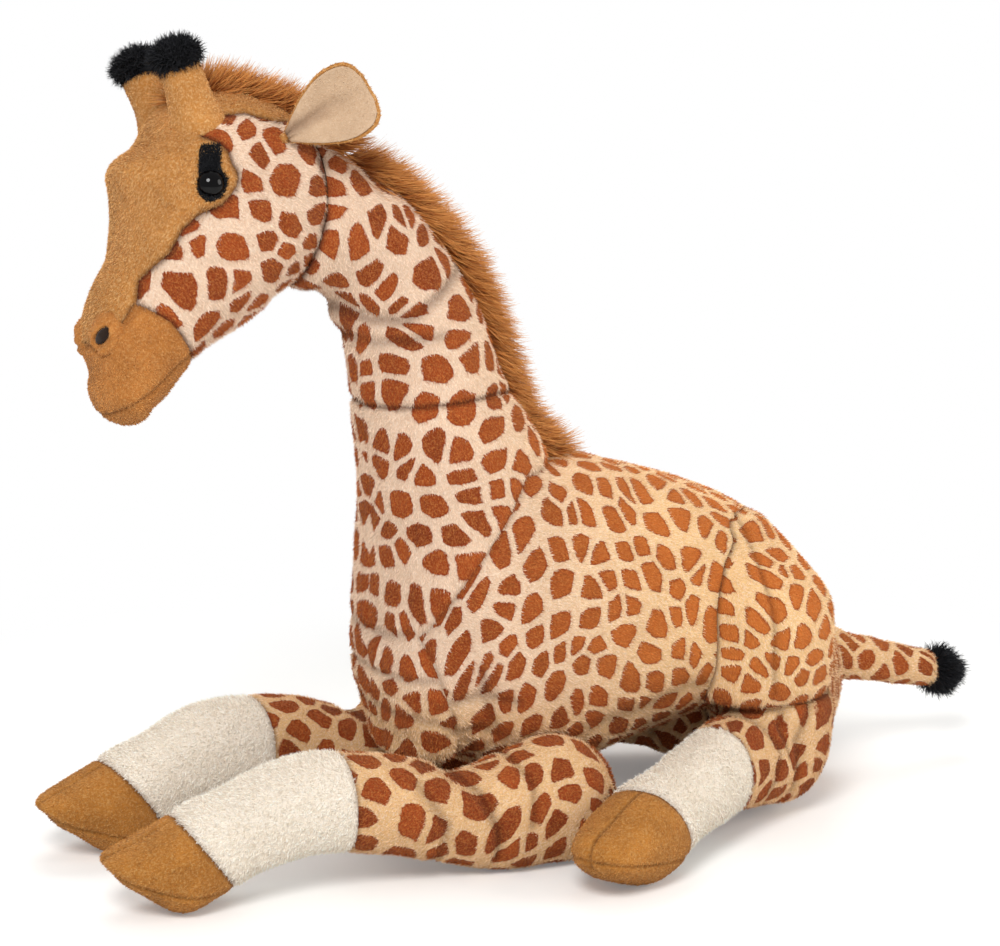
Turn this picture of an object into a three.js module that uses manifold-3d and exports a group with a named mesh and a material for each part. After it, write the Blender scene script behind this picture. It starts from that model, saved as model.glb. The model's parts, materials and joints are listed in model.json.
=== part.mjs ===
// Plush giraffe lying down with its head raised and looking ahead.
// Millimetres, +Z up, nose towards -X, its left side towards -Y, feet on z = 0.
// Every stuffed piece is a fabric skin of one wall thickness round a core of fibre filling.
import * as THREE from 'three';
import { mergeVertices } from 'three/addons/utils/BufferGeometryUtils.js';
import Module from 'manifold-3d';

const wasm = await Module();
wasm.setup();

// Fabric, fits and cuts
const skinThickness = 2.4;      // plush cloth with its backing and seam allowance
const seamGap = 0.3;            // clearance between pieces that touch
const restCut = 0.5;            // flat worn into the filling where it rests
const farReach = 900;           // past everything, for splitting shapes

// Barrel of the body. Rows: along, top, underside and half width, as shares of its sizes
const torso = {
  frontX: 4, length: 386, height: 290, halfWidth: 104, frontCap: 16, rearCap: 13,
};
const torsoRowShares = [
  [0.000, 0.766, 0.372, 0.58],
  [0.070, 0.890, 0.250, 0.79],
  [0.190, 0.979, 0.160, 0.93],
  [0.340, 0.993, 0.160, 0.98],
  [0.490, 0.948, 0.225, 1.00],
  [0.640, 0.879, 0.262, 1.00],
  [0.720, 0.834, 0.235, 0.97],
  [0.790, 0.776, 0.080, 0.91],
  [0.840, 0.718, 0.000, 0.82],
  [0.885, 0.650, 0.000, 0.69],
  [0.920, 0.580, 0.042, 0.54],
  [0.960, 0.476, 0.118, 0.36],
];

// Chest and neck, one tapering column from the breast up into the head.
// Rows: throat side, nape side and half width, as shares of its reach, rise and width
const neck = {
  footX: 0, footZ: 80, rise: 460, reach: 100, halfWidth: 84, footCap: 20,
};
const neckRowShares = [
  [-0.10, 0.010, 0.50, 0.000, 0.69],
  [-0.22, 0.098, 0.88, 0.083, 0.90],
  [-0.21, 0.217, 1.22, 0.207, 1.00],
  [-0.19, 0.348, 1.34, 0.359, 0.95],
  [-0.21, 0.478, 1.18, 0.478, 0.79],
  [-0.26, 0.576, 0.86, 0.591, 0.67],
  [-0.32, 0.654, 0.71, 0.678, 0.62],
  [-0.44, 0.706, 0.48, 0.778, 0.60],
  [-0.57, 0.748, 0.08, 0.887, 0.57],
  [-0.80, 0.763, -0.30, 0.948, 0.60],
  [-1.04, 0.774, -0.76, 1.011, 0.62],
];

// The seam between neck and body, in shares of the body's length and height
const shoulderSeamShares = [
  [0.390, 1.150], [0.340, 1.000], [0.200, 0.985], [0.120, 0.850], [0.030, 0.690], [-0.020, 0.590],
  [0.010, 0.470], [0.060, 0.300], [0.085, 0.150], [0.095, -0.100],
];

// Head, pitched nose down, and the round seat that lets it nod on the neck.
// Rows: forehead side, jaw side and half width, as shares of its reach, drop and width
const head = {
  backX: -70, backZ: 550, reach: 160, drop: 170, halfWidth: 67, noseCap: 18, roll: 9,
};
const headRowShares = [
  [0.00, -0.01, 0.02, 0.65, 0.78],
  [0.19, -0.09, 0.18, 0.74, 0.90],
  [0.40, -0.13, 0.31, 0.82, 0.98],
  [0.63, -0.07, 0.41, 0.87, 1.00],
  [0.84, 0.11, 0.50, 0.91, 0.92],
  [0.89, 0.32, 0.57, 0.95, 0.79],
  [0.91, 0.51, 0.63, 1.01, 0.68],
  [1.00, 0.66, 0.69, 1.07, 0.61],
  [1.08, 0.85, 0.74, 1.12, 0.57],
  [1.08, 1.00, 0.81, 1.17, 0.50],
];
const nod = { pivotX: -135, pivotZ: 495, seatRadius: 80, collarX: -110, portRadius: 36 };

// Seams between the head panels, seen from the side, as shares of the head's reach and drop
const faceSeamShares = [
  [-0.100, 0.010], [0.210, 0.024], [0.350, -0.018], [0.475, -0.006], [0.519, 0.053],
  [0.475, 0.119], [0.431, 0.212], [0.444, 0.282], [0.500, 0.347], [0.638, 0.387],
  [0.713, 0.439], [0.764, 0.532], [0.875, 0.635], [0.900, 0.740], [0.950, 0.800], [1.075, 0.900],
];
const muzzleSeamShares = [
  [1.188, 0.899], [1.075, 0.881], [0.981, 0.829], [0.950, 0.788], [0.900, 0.724],
  [0.763, 0.812], [0.650, 0.945], [0.540, 1.060],
];
const mouthSeamShares = [
  [0.550, 0.870], [0.638, 0.942], [0.725, 0.994], [0.850, 1.093], [0.975, 1.156], [1.030, 1.180],
  [1.250, 1.250],
];

// Legs, left one measured and the right one mirrored. Radii are half heights and half widths.
const foreleg = {
  elbowX: 88, elbowY: 94, elbowRadius: 46, elbowHeight: 93, length: 348, inward: 25, radius: 37,
  tipCap: 24, cuffStart: 168, hoofStart: 284,
};
const forelegRowShares = [
  [0.020, 1.24, 1.20, 1.18],
  [0.130, 1.13, 1.12, 1.10],
  [0.210, 1.08, 0.97, 1.00],
  [0.310, 1.33, 0.97, 1.00],
  [0.420, 1.60, 0.96, 1.00],
  [0.520, 1.76, 0.95, 0.97],
  [0.620, 1.78, 0.95, 0.97],
  [0.720, 1.58, 0.93, 0.94],
  [0.820, 1.22, 0.95, 0.96],
  [0.910, 1.00, 1.00, 1.02],
  [1.000, 1.07, 0.76, 0.90],
];
const hindleg = {
  hockX: 292, hockY: 75, hockRadius: 45, hockFoot: 9, hockTop: 98, length: 266, outward: 28.5,
  radius: 37, tipCap: 25, cuffStart: 84, hoofStart: 180,
};
const hindlegRowShares = [
  [0.037, 1.45, 1.08, 1.05],
  [0.170, 1.49, 1.02, 0.95],
  [0.310, 1.50, 0.92, 0.86],
  [0.500, 1.36, 0.83, 0.83],
  [0.650, 1.18, 0.80, 0.82],
  [0.750, 1.03, 0.92, 0.92],
  [0.870, 0.96, 0.96, 0.94],
  [1.000, 0.93, 0.75, 0.82],
];
const hoofCleft = { width: 3, depth: 7, lengthShare: 0.7 };
const thigh = { frontX: 216, length: 124, height: 165, halfThickness: 60, inset: 66, topCap: 16 };
const thighRowShares = [
  [0.500, 0.930, 0.000, 0.880],
  [0.490, 1.030, 0.250, 0.950],
  [0.440, 1.030, 0.560, 0.980],
  [0.370, 0.860, 0.740, 0.840],
  [0.340, 0.620, 0.880, 0.640],
];

// Tail
const tail = { rootX: 388, rootZ: 98, length: 100, drop: 26, rootRadius: 22, tipRadius: 15.5 };
const tailRowShares = [0, 0.3, 0.65, 1];
const tailTuft = { halfLength: 21, halfWidth: 18, halfHeight: 20 };

// Small pieces of the head
const horn = {
  x: -160, y: 34, baseRadius: 22, waistRadius: 15, tipRadius: 15.5, length: 36, sink: 16,
  leanForward: 12, leanOut: 5,
};
const hornTuft = { radius: 20, height: 25, skirt: 6 };
const ear = {
  x: -104, z: 532, length: 80, halfWidth: 28, thickness: 3.4, cup: 12, rootRadius: 6.5,
  rise: 27, sweepOut: 20, tilt: 18, rimShare: 0.84, stem: 5,
};
const eye = {
  x: -162, z: 505, radius: 9.5, bulge: 7, stemRadius: 2.5, stemLength: 15,
  washerRadius: 8, washerThickness: 1.6,
};
const lash = { width: 16, height: 25, lean: 3, thickness: 1.6 };
const nostril = {
  x: -238, z: 406, ringRadius: 10, ringThickness: 4.2, slotLength: 9, squeezeShare: 0.72,
};
const mane = { halfWidth: 12, sink: 12, nodSlack: 8 };
const maneHeadShares = [
  [0.51, -0.190, 0.50, -0.060],
  [0.41, -0.222, 0.39, -0.060],
  [0.25, -0.196, 0.24, -0.030],
  [0.11, -0.140, 0.10, 0.012],
  [-0.03, -0.075, -0.03, 0.060],
];
const maneNeckShares = [
  [-0.84, 1.057, -0.84, 0.989],
  [-0.52, 1.024, -0.52, 0.957],
  [-0.12, 0.972, -0.25, 0.909],
  [0.27, 0.902, 0.05, 0.857],
  [0.60, 0.817, 0.36, 0.783],
  [0.84, 0.717, 0.58, 0.691],
  [1.02, 0.613, 0.72, 0.591],
  [1.19, 0.526, 0.92, 0.500],
  [1.42, 0.470, 1.20, 0.446],
];

// Facet counts
const bodyAround = 20;
const headAround = 20;
const limbAround = 12;
const smallAround = 12;
const limbJointAround = 20;     // round joints that turn in a pocket of the body
const limbJointRows = 6;
const headJointAround = 28;
const headJointRows = 10;
const hiddenShare = 0.5;       // inner faces have fewer facets than outer ones
const roundness = 2.15;         // section outline: 2 is an ellipse, more is squarer
const capSteps = 2;
const hockSteps = 3;
const leafRows = 6;
const leafColumns = 4;

// Turning three.js shapes into solids for joins and cuts, and back
function toSolid(geometry) {
  const bare = geometry.clone();
  bare.deleteAttribute('normal');
  bare.deleteAttribute('uv');
  const merged = mergeVertices(bare);
  return new wasm.Manifold(new wasm.Mesh({
    numProp: 3,
    vertProperties: new Float32Array(merged.attributes.position.array),
    triVerts: new Uint32Array(merged.index.array),
  }));
}

function toGeometry(solid) {
  const mesh = solid.getMesh();
  const geometry = new THREE.BufferGeometry();
  geometry.setAttribute('position', new THREE.BufferAttribute(new Float32Array(mesh.vertProperties), 3));
  geometry.setIndex(new THREE.BufferAttribute(new Uint32Array(mesh.triVerts), 1));
  return geometry;
}

function moved(geometry, position, quaternion = new THREE.Quaternion()) {
  const one = new THREE.Vector3(1, 1, 1);
  return geometry.clone().applyMatrix4(new THREE.Matrix4().compose(position, quaternion, one));
}

// A stuffed form: rings between a top line and an underside line, with round ends
function makeForm(rows, side, startCap, endCap, around) {
  const topLine = new THREE.CatmullRomCurve3(rows.map((row) => row.top));
  const lowLine = new THREE.CatmullRomCurve3(rows.map((row) => row.low));
  const widths = new THREE.CatmullRomCurve3(rows.map((row) => new THREE.Vector3(row.wide, 0, 0)));
  const hiddenAround = Math.round(around * hiddenShare / 2) * 2;
  return { topLine, lowLine, widths, side, startCap, endCap, around, hiddenAround, rowCount: rows.length };
}

function formCentre(form, share) {
  return form.topLine.getPoint(share).add(form.lowLine.getPoint(share)).multiplyScalar(0.5);
}

function formAlong(form, share) {
  return form.topLine.getTangent(share).add(form.lowLine.getTangent(share)).normalize();
}

function formRing(form, share, overshoot, shrink, grow) {
  const around = grow < 0 ? form.hiddenAround : form.around;
  const centre = formCentre(form, share);
  const up = form.topLine.getPoint(share).sub(centre);
  const thick = up.length();
  const wide = form.widths.getPoint(share).x;
  up.normalize();
  centre.addScaledVector(formAlong(form, share), overshoot);
  const ring = [];
  for (let step = 0; step < around; step += 1) {
    const angle = (2 * Math.PI * step) / around;
    const across = Math.sign(Math.cos(angle)) * Math.abs(Math.cos(angle)) ** (2 / roundness);
    const rise = Math.sign(Math.sin(angle)) * Math.abs(Math.sin(angle)) ** (2 / roundness);
    ring.push(centre.clone()
      .addScaledVector(form.side, across * (wide + grow) * shrink)
      .addScaledVector(up, rise * (thick + grow) * shrink));
  }
  return ring;
}

function formSolid(form, grow = 0) {
  const rings = [];
  const quarter = Math.PI / 2;
  const last = form.rowCount - 1;
  const inset = Math.max(-grow, 0);
  const startReach = form.startCap > 0 ? -form.startCap - grow : inset;
  const endReach = form.endCap > 0 ? form.endCap + grow : -inset;
  const capRing = (share, reach, turn) =>
    formRing(form, share, reach * Math.sin(turn), Math.cos(turn), grow);
  if (form.startCap > 0) {
    for (let step = capSteps - 1; step > 0; step -= 1) {
      rings.push(capRing(0, startReach, (quarter * step) / capSteps));
    }
  }
  for (let step = 0; step <= last; step += 1) {
    const flatStart = step === 0 && form.startCap === 0;
    const flatEnd = step === last && form.endCap === 0;
    const overshoot = (flatStart ? startReach : 0) + (flatEnd ? endReach : 0);
    rings.push(formRing(form, step / last, overshoot, 1, grow));
  }
  if (form.endCap > 0) {
    for (let step = 1; step < capSteps; step += 1) {
      rings.push(capRing(1, endReach, (quarter * step) / capSteps));
    }
  }
  const tips = [
    formCentre(form, 0).addScaledVector(formAlong(form, 0), startReach),
    formCentre(form, 1).addScaledVector(formAlong(form, 1), endReach),
  ];
  return toSolid(ringsGeometry(rings, tips));
}

// Closed surface through rings of equal count, ending in two tip points
function ringsGeometry(rings, tips) {
  const around = rings[0].length;
  const points = [...rings.flat(), ...tips];
  const faces = [];
  for (let row = 0; row + 1 < rings.length; row += 1) {
    for (let step = 0; step < around; step += 1) {
      const next = (step + 1) % around;
      const here = row * around;
      const there = here + around;
      faces.push(here + step, here + next, there + next);
      faces.push(here + step, there + next, there + step);
    }
  }
  const startTip = rings.length * around;
  const last = startTip - around;
  for (let step = 0; step < around; step += 1) {
    const next = (step + 1) % around;
    faces.push(startTip, next, step);
    faces.push(startTip + 1, last + step, last + next);
  }
  const geometry = new THREE.BufferGeometry().setFromPoints(points);
  geometry.setIndex(faces);
  if (signedVolume(points, faces) < 0) {
    geometry.setIndex(faces.slice().reverse());
  }
  return geometry;
}

function signedVolume(points, faces) {
  let sum = 0;
  const cross = new THREE.Vector3();
  for (let at = 0; at < faces.length; at += 3) {
    cross.crossVectors(points[faces[at + 1]], points[faces[at + 2]]);
    sum += points[faces[at]].dot(cross);
  }
  return sum / 6;
}

// A wide block whose face lies on a plane and that fills the side its direction points to
function halfSpace(point, direction) {
  const block = new THREE.BoxGeometry(farReach, farReach * 2, farReach * 2);
  const turn = new THREE.Quaternion().setFromUnitVectors(
    new THREE.Vector3(1, 0, 0), direction.clone().normalize());
  const centre = point.clone().addScaledVector(direction.clone().normalize(), farReach / 2);
  return toSolid(moved(block, centre, turn));
}

// A curtain seen from the side: everything on one side of a seam line, through the full width
function seamRegion(seam, corners, shift) {
  const shifted = seam.map((point, index) => {
    const before = seam[Math.max(index - 1, 0)];
    const after = seam[Math.min(index + 1, seam.length - 1)];
    const along = after.clone().sub(before).normalize();
    return new THREE.Vector2(point.x - along.y * shift, point.y + along.x * shift);
  });
  const outline = [...shifted, ...corners];
  if (THREE.ShapeUtils.area(outline) < 0) {
    outline.reverse();
  }
  const slab = new THREE.ExtrudeGeometry(new THREE.Shape(outline), {
    depth: farReach, bevelEnabled: false, curveSegments: 1,
  });
  slab.translate(0, 0, -farReach / 2);
  slab.rotateX(Math.PI / 2);
  return toSolid(slab);
}

function ballSolid(centre, radius, around = headAround) {
  const ball = new THREE.SphereGeometry(radius, around, Math.round(around / 2));
  return toSolid(moved(ball, centre));
}

// A pocket is this much wider than the round joint in it, so that the facets turn freely
function pocketShare(around) {
  return 1 / Math.cos(Math.PI / around);
}

// Round solid turned about the vertical through a centre, from a profile of [radius, height]
function turned(centre, profile, around) {
  const points = profile.map(([radius, height]) => new THREE.Vector2(radius, height));
  const lathe = new THREE.LatheGeometry(points, around);
  lathe.rotateX(Math.PI / 2);
  return toSolid(moved(lathe, centre));
}

// Where a straight line in from the side, or down from above, first meets a solid
function seatOn(solid, from, direction) {
  const mesh = new THREE.Mesh(toGeometry(solid), new THREE.MeshBasicMaterial({ side: THREE.DoubleSide }));
  const ray = new THREE.Raycaster(from, direction.clone().normalize(), 0, farReach);
  const hit = ray.intersectObject(mesh)[0];
  return { point: hit.point, normal: hit.face.normal.clone() };
}

const sideways = new THREE.Vector3(0, 1, 0);
const upward = new THREE.Vector3(0, 0, 1);

// The main forms
const torsoForm = makeForm(torsoRowShares.map(([alongShare, topShare, lowShare, wideShare]) => {
  const x = torso.frontX + alongShare * torso.length;
  return {
    top: new THREE.Vector3(x, 0, topShare * torso.height),
    low: new THREE.Vector3(x, 0, lowShare * torso.height - restCut),
    wide: wideShare * torso.halfWidth,
  };
}), sideways, torso.frontCap, torso.rearCap, bodyAround);

const neckForm = makeForm(neckRowShares.map(([throatX, throatZ, napeX, napeZ, wideShare]) => ({
  top: new THREE.Vector3(neck.footX + throatX * neck.reach, 0, neck.footZ + throatZ * neck.rise),
  low: new THREE.Vector3(neck.footX + napeX * neck.reach, 0, neck.footZ + napeZ * neck.rise),
  wide: wideShare * neck.halfWidth,
})), sideways, neck.footCap, 0, bodyAround);

const headForm = makeForm(headRowShares.map(([foreX, foreZ, jawX, jawZ, wideShare]) => ({
  top: new THREE.Vector3(head.backX - foreX * head.reach, 0, head.backZ - foreZ * head.drop),
  low: new THREE.Vector3(head.backX - jawX * head.reach, 0, head.backZ - jawZ * head.drop),
  wide: wideShare * head.halfWidth,
})), sideways, 0, head.noseCap, headAround);

const pivot = new THREE.Vector3(nod.pivotX, 0, nod.pivotZ);

// The head is cocked a little to its right about the centre of its seat
const headTilt = new THREE.Quaternion().setFromAxisAngle(
  new THREE.Vector3(1, 0, 0), -THREE.MathUtils.degToRad(head.roll));

function tilted(solid) {
  const level = toGeometry(solid).translate(-pivot.x, -pivot.y, -pivot.z);
  return toSolid(moved(level, pivot, headTilt));
}

function floorBlock() {
  return halfSpace(new THREE.Vector3(0, 0, 0), new THREE.Vector3(0, 0, -1));
}

// What nests into the body, grown by a clearance: elbows, hocks, tail root. A pocket share
// above one widens it about the upright axis that it turns on.
function jointBall(grow, around, rows) {
  const hidden = grow < 0 || grow > seamGap;
  const count = hidden ? Math.round(around * hiddenShare) : around;
  return new THREE.SphereGeometry(1, count, hidden ? Math.round(rows * hiddenShare) + 1 : rows);
}

function elbowBall(side, grow, share = 1) {
  const ball = jointBall(grow, limbJointAround, limbJointRows);
  const half = foreleg.elbowHeight / 2;
  const radius = (foreleg.elbowRadius + grow) * share;
  ball.rotateX(Math.PI / 2);
  ball.scale(radius, radius, half + restCut + grow);
  return toSolid(moved(ball, new THREE.Vector3(foreleg.elbowX, side * foreleg.elbowY, half)));
}

function hockPuck(side, grow, share = 1) {
  const radius = (hindleg.hockRadius + grow) * share;
  const foot = hindleg.hockFoot - grow;
  const top = hindleg.hockTop + grow;
  const round = radius * 0.8;
  const rise = (top - foot) * 0.72;
  const profile = [[0, foot]];
  for (let step = 0; step <= hockSteps; step += 1) {
    const turn = (Math.PI / 2) * (step / hockSteps);
    profile.push([radius - round + round * Math.sin(turn), foot + rise - rise * Math.cos(turn)]);
  }
  profile.push([radius, top], [0, top]);
  const hidden = grow < 0 || grow > seamGap;
  const around = hidden ? Math.round(limbJointAround * hiddenShare) : limbJointAround;
  return turned(new THREE.Vector3(hindleg.hockX, side * hindleg.hockY, 0), profile, around);
}

function tailBall(grow, share = 1) {
  const ball = jointBall(grow, limbJointAround, limbJointRows);
  const radius = (tail.rootRadius + grow) * share;
  ball.rotateX(Math.PI / 2);
  ball.scale(radius, radius, tail.rootRadius + grow);
  return toSolid(moved(ball, tailRoot()));
}

function tailRoot() {
  return new THREE.Vector3(tail.rootX, 0, tail.rootZ);
}

function nested(grow) {
  const share = pocketShare(grow > seamGap ? limbJointAround * hiddenShare : limbJointAround);
  let solid = tailBall(grow, share);
  for (const side of [-1, 1]) {
    solid = solid.add(elbowBall(side, grow, share)).add(hockPuck(side, grow, share));
  }
  return solid;
}

// Body and neck: one stuffed form, its skin sewn from a body part and a neck part
function bodyForm(grow) {
  return formSolid(torsoForm, grow).add(formSolid(neckForm, grow));
}

function headBall(grow, share = 1) {
  const ball = jointBall(grow, headJointAround, headJointRows);
  const radius = (nod.seatRadius + grow) * share;
  ball.scale(radius, nod.seatRadius + grow, radius);
  return toSolid(moved(ball, pivot));
}

function headSeat(grow, share = 1) {
  const ball = headBall(grow, share);
  const front = halfSpace(new THREE.Vector3(nod.collarX + grow, 0, 0), new THREE.Vector3(-1, 0, 0));
  return ball.add(front);
}

const neckCup = tilted(headSeat(seamGap, pocketShare(headJointAround)));
const bodyWhole = bodyForm(0).subtract(neckCup).subtract(floorBlock());
const bodyHollow = bodyForm(-skinThickness)
  .subtract(nested(seamGap + skinThickness))
  .subtract(halfSpace(new THREE.Vector3(0, 0, skinThickness), new THREE.Vector3(0, 0, -1)));
const bodySkin = bodyWhole.subtract(nested(seamGap)).subtract(bodyHollow);
const bodyCore = bodyForm(-skinThickness - seamGap)
  .subtract(nested(seamGap + skinThickness + seamGap))
  .subtract(neckCup)
  .subtract(halfSpace(new THREE.Vector3(0, 0, skinThickness + seamGap), new THREE.Vector3(0, 0, -1)));

function shoulderSeam() {
  return shoulderSeamShares.map(([x, z]) =>
    new THREE.Vector2(torso.frontX + x * torso.length, z * torso.height));
}
const rearCorners = [new THREE.Vector2(farReach, -farReach), new THREE.Vector2(farReach, farReach)];

const torsoSkin = bodySkin.intersect(seamRegion(shoulderSeam(), rearCorners, 0));
const neckSkin = bodySkin.subtract(seamRegion(shoulderSeam(), rearCorners, -seamGap));

// Head: a stuffed form whose back is a ball that turns in the hollow end of the neck
function headSolid(grow) {
  return formSolid(headForm, grow).intersect(headSeat(grow));
}

function onHeadSide(xShare, zShare) {
  return new THREE.Vector2(head.backX - xShare * head.reach, head.backZ - zShare * head.drop);
}

const headWhole = headSolid(0);
const neckPort = toSolid(moved(
  new THREE.CylinderGeometry(nod.portRadius, nod.portRadius, head.reach, smallAround)
    .rotateZ(Math.PI / 2),
  new THREE.Vector3(nod.pivotX + nod.seatRadius, 0, nod.pivotZ)));
const headShell = headWhole.subtract(headSolid(-skinThickness)).subtract(neckPort);

const frontCorners = [
  new THREE.Vector2(-farReach, 0), new THREE.Vector2(-farReach, farReach), new THREE.Vector2(0, farReach),
];
const lowCorners = [new THREE.Vector2(0, -farReach), new THREE.Vector2(-farReach, -farReach)];
const faceSeam = faceSeamShares.map(([x, z]) => onHeadSide(x, z));
const muzzleSeam = muzzleSeamShares.map(([x, z]) => onHeadSide(x, z));
const mouthSeam = mouthSeamShares.map(([x, z]) => onHeadSide(x, z));

function faceRegion(shift) {
  return seamRegion(faceSeam, frontCorners, shift);
}

function muzzleRegion(shift) {
  return seamRegion(muzzleSeam, lowCorners, shift);
}

function jawRegion(shift) {
  return seamRegion(mouthSeam, [...lowCorners].reverse(), shift);
}

// Filling of the head, with room at the eye stems and their washers
function eyeSide(side) {
  const from = new THREE.Vector3(eye.x, side * farReach / 2, eye.z);
  return seatOn(headWhole, from, new THREE.Vector3(0, -side, 0));
}

function eyeTurn(side) {
  return new THREE.Quaternion().setFromUnitVectors(upward, eyeSide(side).normal);
}

function eyePiece(side, profile) {
  const points = profile.map(([radius, height]) => new THREE.Vector2(radius, height));
  const lathe = new THREE.LatheGeometry(points, smallAround);
  lathe.rotateX(Math.PI / 2);
  return toSolid(moved(lathe, eyeSide(side).point, eyeTurn(side)));
}

// Glossy dome with a stem through the skin, held inside by a spring washer
function eyeSolid(side) {
  const rim = seamGap + skinThickness / 6;
  return eyePiece(side, [
    [0, -eye.stemLength], [eye.stemRadius, -eye.stemLength], [eye.stemRadius, rim],
    [eye.radius, rim], [eye.radius, rim + eye.bulge * 0.3], [eye.radius * 0.86, rim + eye.bulge * 0.66],
    [eye.radius * 0.5, rim + eye.bulge * 0.93], [0, rim + eye.bulge],
  ]);
}

function washerSolid(side) {
  const top = -skinThickness - seamGap * 2;
  const bore = eye.stemRadius + seamGap;
  return eyePiece(side, [
    [bore, top], [bore, top - eye.washerThickness], [eye.washerRadius, top - eye.washerThickness],
    [eye.washerRadius, top], [bore, top],
  ]);
}

// Room round the washer, hollowed out of the filling and of the inside of the face
function eyeRoom(side) {
  const depth = eye.stemLength + seamGap;
  const wide = eye.washerRadius + seamGap * 2;
  const top = -skinThickness - seamGap;
  return eyePiece(side, [[0, -depth], [wide, -depth], [wide, top], [0, top]]);
}

function stemHole(side) {
  const bore = eye.stemRadius + seamGap;
  const depth = eye.stemLength;
  return eyePiece(side, [[0, -depth], [bore, -depth], [bore, skinThickness * 3], [0, skinThickness * 3]]);
}

// Black lash strip: a band of cloth that stands up from the eye and hugs its rim
function lashSolid(side) {
  const half = lash.width / 2;
  const hug = eye.radius + seamGap;
  const outline = new THREE.Shape([
    new THREE.Vector2(half + lash.lean, lash.height), new THREE.Vector2(-half + lash.lean, lash.height),
  ]);
  outline.absarc(0, 0, hug, Math.PI * 0.82, Math.PI * 0.24, true);
  outline.closePath();
  const strip = new THREE.ExtrudeGeometry(outline, {
    depth: skinThickness + lash.thickness, bevelEnabled: false, curveSegments: capSteps * 2,
  });
  strip.translate(0, 0, -skinThickness);
  const seat = eyeSide(side);
  const basis = new THREE.Matrix4();
  const out = seat.normal;
  const high = upward.clone().addScaledVector(out, -upward.dot(out)).normalize();
  const along = new THREE.Vector3().crossVectors(high, out);
  basis.makeBasis(along, high, out).setPosition(seat.point);
  return toSolid(strip.applyMatrix4(basis)).subtract(headSolid(seamGap));
}

// Raised nostril ring with its dark slot
function nostrilFrame(side) {
  const seat = seatOn(headWhole, new THREE.Vector3(nostril.x, side * farReach / 2, nostril.z),
    new THREE.Vector3(0, -side, 0));
  const out = seat.normal;
  const high = upward.clone().addScaledVector(out, -upward.dot(out)).normalize();
  const along = new THREE.Vector3().crossVectors(high, out);
  return new THREE.Matrix4().makeBasis(along, high, out).setPosition(seat.point);
}

function nostrilShape(side, radius, height, grow) {
  const half = radius + grow;
  const points = [[0, -nostril.ringThickness], [half, -nostril.ringThickness], [half, height * 0.4],
    [half * 0.8, height], [0, height]];
  const lathe = new THREE.LatheGeometry(
    points.map(([across, up]) => new THREE.Vector2(across, up)), smallAround);
  lathe.rotateX(Math.PI / 2);
  lathe.scale(1, nostril.squeezeShare, 1);
  return toSolid(lathe.applyMatrix4(nostrilFrame(side)));
}

function nostrilSlot(side) {
  return nostrilShape(side, nostril.slotLength / 2, nostril.ringThickness * 0.7, 0)
    .subtract(headSolid(seamGap));
}

function nostrilRing(side) {
  const outer = nostrilShape(side, nostril.ringRadius, nostril.ringThickness, 0);
  const bore = nostrilShape(side, nostril.slotLength / 2, nostril.ringThickness * 4, seamGap);
  return outer.subtract(bore).subtract(headSolid(seamGap));
}

// Horns: waisted posts flaring onto the crown, each with a fluffy cap
function hornFrame(side) {
  const seat = seatOn(headWhole, new THREE.Vector3(horn.x, side * horn.y, farReach),
    new THREE.Vector3(0, 0, -1));
  const aim = new THREE.Vector3(-horn.leanForward, side * horn.leanOut, horn.length).normalize();
  const turn = new THREE.Quaternion().setFromUnitVectors(upward, aim);
  return { point: seat.point, turn };
}

function hornPiece(side, profile) {
  const points = profile.map(([radius, height]) => new THREE.Vector2(radius, height));
  const lathe = new THREE.LatheGeometry(points, smallAround);
  lathe.rotateX(Math.PI / 2);
  const frame = hornFrame(side);
  return toSolid(moved(lathe, frame.point, frame.turn));
}

function hornSolid(side) {
  return hornPiece(side, [
    [0, -horn.sink], [horn.baseRadius * 1.15, -horn.sink], [horn.baseRadius, 0],
    [horn.waistRadius * 1.1, horn.length * 0.25], [horn.waistRadius, horn.length * 0.5],
    [horn.tipRadius, horn.length * 0.85], [horn.tipRadius * 0.8, horn.length], [0, horn.length],
  ]).subtract(headSolid(seamGap));
}

function hornTuftSolid(side) {
  const foot = horn.length - hornTuft.skirt - seamGap;
  const top = foot + hornTuft.height;
  const radius = hornTuft.radius;
  return hornPiece(side, [
    [0, foot], [radius * 0.86, foot], [radius, foot + hornTuft.height * 0.3],
    [radius * 0.94, foot + hornTuft.height * 0.65], [radius * 0.6, top - hornTuft.height * 0.08],
    [0, top],
  ]).subtract(hornPiece(side, [
    [0, -horn.sink], [horn.tipRadius + seamGap, -horn.sink], [horn.tipRadius + seamGap, horn.length * 0.85],
    [horn.tipRadius * 0.8 + seamGap, horn.length + seamGap], [0, horn.length + seamGap],
  ]));
}

// Ears: a cupped leaf of cloth with a paler lining, standing on a small round root
function leafOutline(share) {
  return Math.sqrt(Math.max(Math.sin(Math.PI * Math.min(share, 1) ** 1.08), 0)) * 0.94 + 0.06 * (1 - share);
}

function earFrame(side) {
  const seat = seatOn(headWhole, new THREE.Vector3(ear.x, side * farReach / 2, ear.z),
    new THREE.Vector3(0, -side, 0));
  const along = new THREE.Vector3(ear.length, side * ear.sweepOut, ear.rise * 1.4).normalize();
  const face = new THREE.Vector3(-ear.tilt, side * ear.length, 0);
  face.addScaledVector(along, -face.dot(along)).normalize();
  const across = new THREE.Vector3().crossVectors(face, along);
  return new THREE.Matrix4().makeBasis(along, across, face)
    .setPosition(seat.point.clone().addScaledVector(seat.normal, ear.rootRadius * 0.6));
}

// How far a leaf rises at a share of its half width, flat between its columns
function leafDish(place, half) {
  const step = 2 / leafColumns;
  const before = Math.floor(place / step) * step;
  const rise = (share) => ear.cup * (share * half / ear.halfWidth) ** 2;
  return THREE.MathUtils.mapLinear(place, before, before + step, rise(before), rise(before + step));
}

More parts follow.
